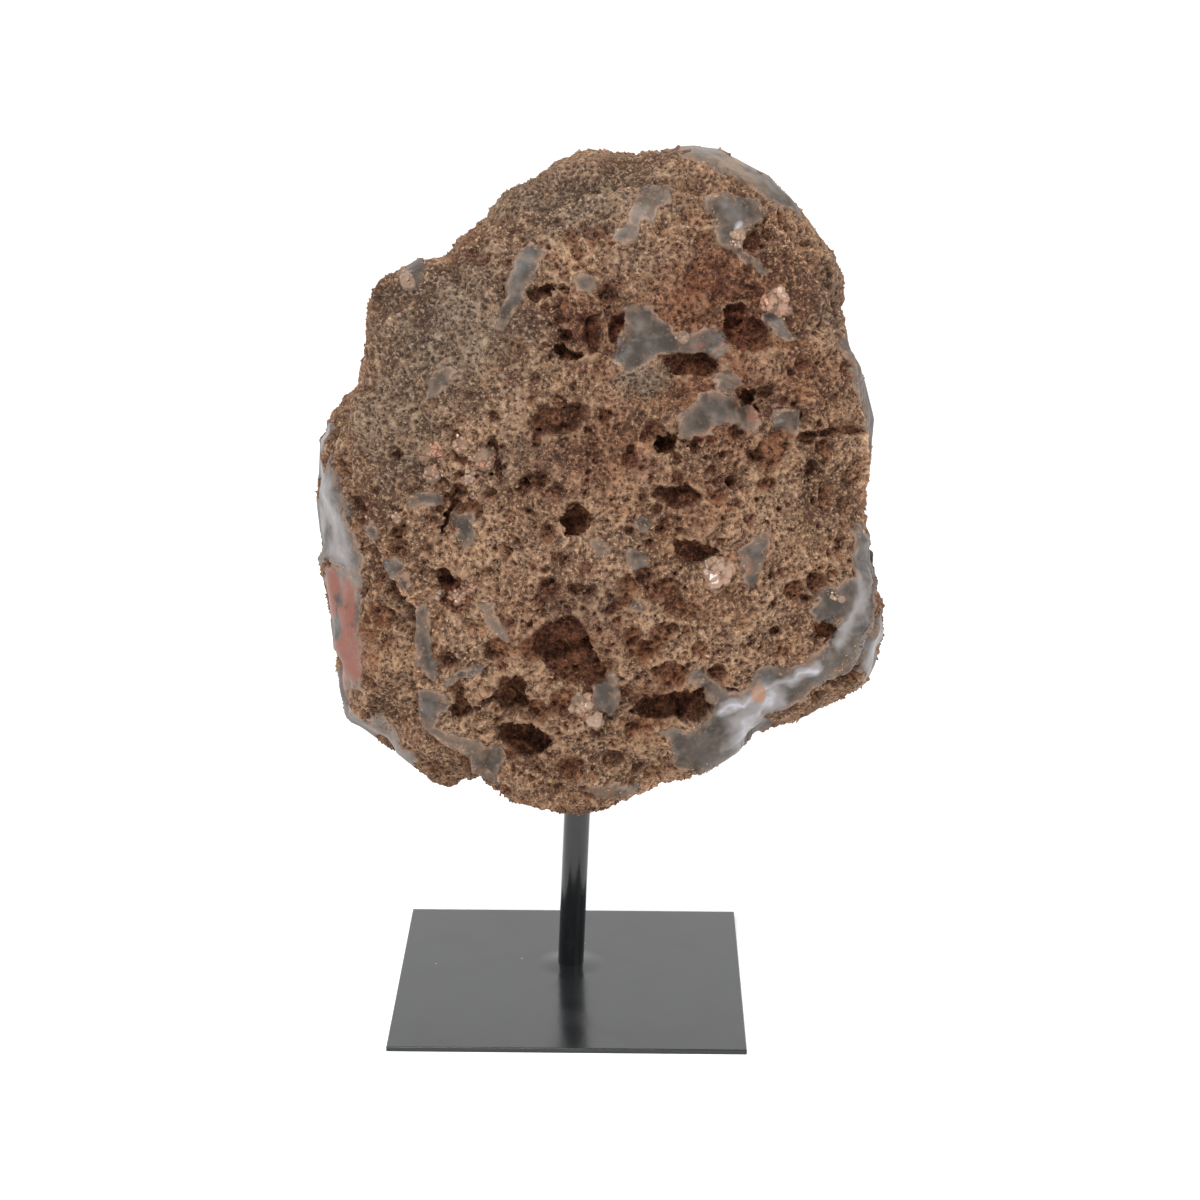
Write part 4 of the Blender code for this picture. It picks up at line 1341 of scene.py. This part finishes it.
def rod_axis():
    """The rod's foot, its direction, its radius and its length, read from the CAD rod."""
    points = mesh_points(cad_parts["stand_rod"].data)
    height = points[:, 2]
    middle = (height.min() + height.max()) / 2
    low = points[height < middle].mean(0)
    high = points[height > middle].mean(0)
    direction = (high - low) / np.linalg.norm(high - low)
    along = (points - low) @ direction
    radius = np.linalg.norm(points - low - along[:, None] * direction, axis=1).max()
    return low + direction * along.min(), direction, radius, along.max() - along.min()


def rounded_mesh(name, bm, edges, rounding):
    """Rounds some of the edges and makes the mesh, smooth but for its sharp edges."""
    bmesh.ops.bevel(bm, geom=edges, offset=rounding, segments=ROUNDING_STEPS, profile=0.5, affect="EDGES")
    mesh = bpy.data.meshes.new(name)
    bm.to_mesh(mesh)
    bm.free()
    mesh.shade_smooth()
    mesh.set_sharp_from_angle(angle=SHARP_ANGLE)
    return mesh


class AGATE_OT_rod(bpy.types.Operator):
    """Make the painted rod"""

    bl_idname = "agate.rod"
    bl_label = "Rod"

    def execute(self, context):
        foot, direction, radius, length = rod_axis()
        bm = bmesh.new()
        bmesh.ops.create_cone(
            bm, segments=ROD_SIDES, radius1=radius, radius2=radius, depth=length, cap_ends=True)
        bmesh.ops.translate(bm, verts=bm.verts, vec=(0, 0, length / 2))
        ends = [e for e in bm.edges if abs(e.verts[0].co.z - e.verts[1].co.z) < length / 2]
        mesh = rounded_mesh("rod", bm, ends, ROD_ROUND)
        turn = Vector(direction).to_track_quat("Z", "Y").to_matrix().to_4x4()
        mesh.transform(Matrix.Translation(foot) @ turn)
        material = paint_material(context.scene.agate_stand, "rod_paint")
        new_piece("rod", mesh, material, "stand_paint", "stand_rod")
        return {"FINISHED"}


class AGATE_OT_plate(bpy.types.Operator):
    """Make the painted square plate, drawn up round the rod's foot"""

    bl_idname = "agate.plate"
    bl_label = "Plate"

    def execute(self, context):
        settings = context.scene.agate_stand
        low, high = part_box("base_plate")
        foot, *_ = rod_axis()
        bm = bmesh.new()
        bmesh.ops.create_grid(bm, x_segments=PLATE_CELLS, y_segments=PLATE_CELLS, size=0.5)
        bmesh.ops.scale(bm, verts=bm.verts, vec=(high.x - low.x, high.y - low.y, 1))
        top = bm.verts[:]
        rim = [e for e in bm.edges if e.is_boundary]
        skirt = bmesh.ops.extrude_edge_only(bm, edges=rim)["geom"]
        below = [item for item in skirt if isinstance(item, bmesh.types.BMVert)]
        for vert in below:
            vert.co.z = -PLATE_THICKNESS
        bmesh.ops.contextual_create(bm, geom=[e for e in bm.edges if e.is_boundary])
        bmesh.ops.recalc_face_normals(bm, faces=bm.faces[:])
        bmesh.ops.translate(bm, verts=bm.verts, vec=(0, 0, PLATE_THICKNESS))
        for vert in top:
            away = math.hypot(vert.co.x - foot[0], vert.co.y - foot[1]) / settings.mound_radius
            vert.co.z += settings.mound_height * (1 + math.cos(math.pi * min(away, 1))) / 2
        corners = [e for e in bm.edges if len(e.link_faces) == 2 and e.calc_face_angle() > PLATE_CORNER]
        mesh = rounded_mesh("plate", bm, corners, settings.edge_round)
        material = paint_material(settings, "plate_paint")
        new_piece("plate", mesh, material, "stand_paint", "base_plate")
        return {"FINISHED"}


def add_light(name, place, size, power):
    """Adds a square light that points at the stone."""
    light = bpy.data.lights.new(name, "AREA")
    light.shape = "SQUARE"
    light.size = size
    light.energy = power
    lamp = bpy.data.objects.new(name, light)
    bpy.context.scene.collection.objects.link(lamp)
    lamp.location = place
    lamp.rotation_mode = "QUATERNION"
    lamp.rotation_quaternion = (Vector(STONE_MIDDLE) - Vector(place)).to_track_quat("-Z", "Y")


def make_surround(settings):
    """White all round, and dimmer on the eye's side."""
    world = bpy.data.worlds.new("surround")
    world.use_nodes = True
    tree = world.node_tree
    background = tree.nodes["Background"]
    background.inputs["Color"].default_value = (1, 1, 1, 1)
    away = tree.nodes.new("ShaderNodeSeparateXYZ")
    fade = tree.nodes.new("ShaderNodeMapRange")
    fade.inputs["From Min"].default_value, fade.inputs["From Max"].default_value = SURROUND_DIMS
    fade.inputs["To Min"].default_value = settings.surround * settings.front_share
    fade.inputs["To Max"].default_value = settings.surround
    tree.links.new(tree.nodes.new("ShaderNodeTexCoord").outputs["Generated"], away.inputs[0])
    tree.links.new(away.outputs["Y"], fade.inputs["Value"])
    tree.links.new(fade.outputs["Result"], background.inputs["Strength"])
    return world


class AGATE_OT_stage(bpy.types.Operator):
    """Set the floor, the soft lights and the camera"""

    bl_idname = "agate.stage"
    bl_label = "Stage"

    def execute(self, context):
        scene = context.scene
        settings = scene.agate_stage
        mesh = bpy.data.meshes.new("floor")
        sides = [(-1, -1), (1, -1), (1, 1), (-1, 1)]
        mesh.from_pydata([(FLOOR_REACH * x, FLOOR_REACH * y, 0) for x, y in sides], [], [(0, 1, 2, 3)])
        floor = bpy.data.objects.new("floor", mesh)
        scene.collection.objects.link(floor)
        shader = Shader("floor")
        shader.set(Base_Color=tuple(settings.floor_colour), Roughness=0.9)
        shader.set(Emission_Color=(1.0, 1.0, 1.0), Emission_Strength=settings.floor_glow)
        mesh.materials.append(shader.material)
        scene.world = make_surround(settings)
        add_light("key", KEY_PLACE, KEY_SIZE, settings.key_power)
        add_light("fill", FILL_PLACE, FILL_SIZE, FILL_SHARE * settings.key_power)
        camera = bpy.data.objects.new("camera", bpy.data.cameras.new("camera"))
        scene.collection.objects.link(camera)
        right, up, forward = eye_axes()
        camera.matrix_world = Matrix.Translation(EYE) @ Matrix((right, up, -forward)).transposed().to_4x4()
        camera.data.lens = settings.lens
        camera.data.sensor_width = SENSOR_WIDTH
        camera.data.clip_start = NEAREST_SEEN
        scene.camera = camera
        scene.view_settings.view_transform = "Standard"
        return {"FINISHED"}


class AGATE_PT_sidebar(bpy.types.Panel):
    """Lists the steps and their settings"""

    bl_idname = "AGATE_PT_sidebar"
    bl_label = "Druzy Agate"
    bl_space_type = "VIEW_3D"
    bl_region_type = "UI"
    bl_category = "Agate"

    def draw(self, context):
        for settings, steps in PANEL_ROWS:
            box = self.layout.box()
            group = getattr(context.scene, settings)
            for name in group.__annotations__:
                box.prop(group, name)
            for step in steps:
                box.operator(step.bl_idname)


STONE_STEPS = (AGATE_OT_stone_body, AGATE_OT_rind_grains, AGATE_OT_front_crystals, AGATE_OT_back_druse)
STAND_STEPS = (AGATE_OT_plate, AGATE_OT_rod)
STAGE_STEPS = (AGATE_OT_stage,)
PANEL_ROWS = (("agate_stone", STONE_STEPS), ("agate_stand", STAND_STEPS), ("agate_stage", STAGE_STEPS))
SETTINGS = {"agate_stone": StoneSettings, "agate_stand": StandSettings, "agate_stage": StageSettings}
CLASSES = (*SETTINGS.values(), *STONE_STEPS, *STAND_STEPS, *STAGE_STEPS, AGATE_PT_sidebar)


def register():
    for kind in CLASSES:
        bpy.utils.register_class(kind)
    for name, kind in SETTINGS.items():
        setattr(bpy.types.Scene, name, PointerProperty(type=kind))


def unregister():
    for name in SETTINGS:
        delattr(bpy.types.Scene, name)
    for kind in reversed(CLASSES):
        bpy.utils.unregister_class(kind)


def main():
    register()
    bpy.ops.agate.stage()
    bpy.ops.agate.plate()
    bpy.ops.agate.rod()
    bpy.ops.agate.stone_body()
    bpy.ops.agate.rind_grains()
    bpy.ops.agate.front_crystals()
    bpy.ops.agate.back_druse()


if __name__ == "__main__":
    main()
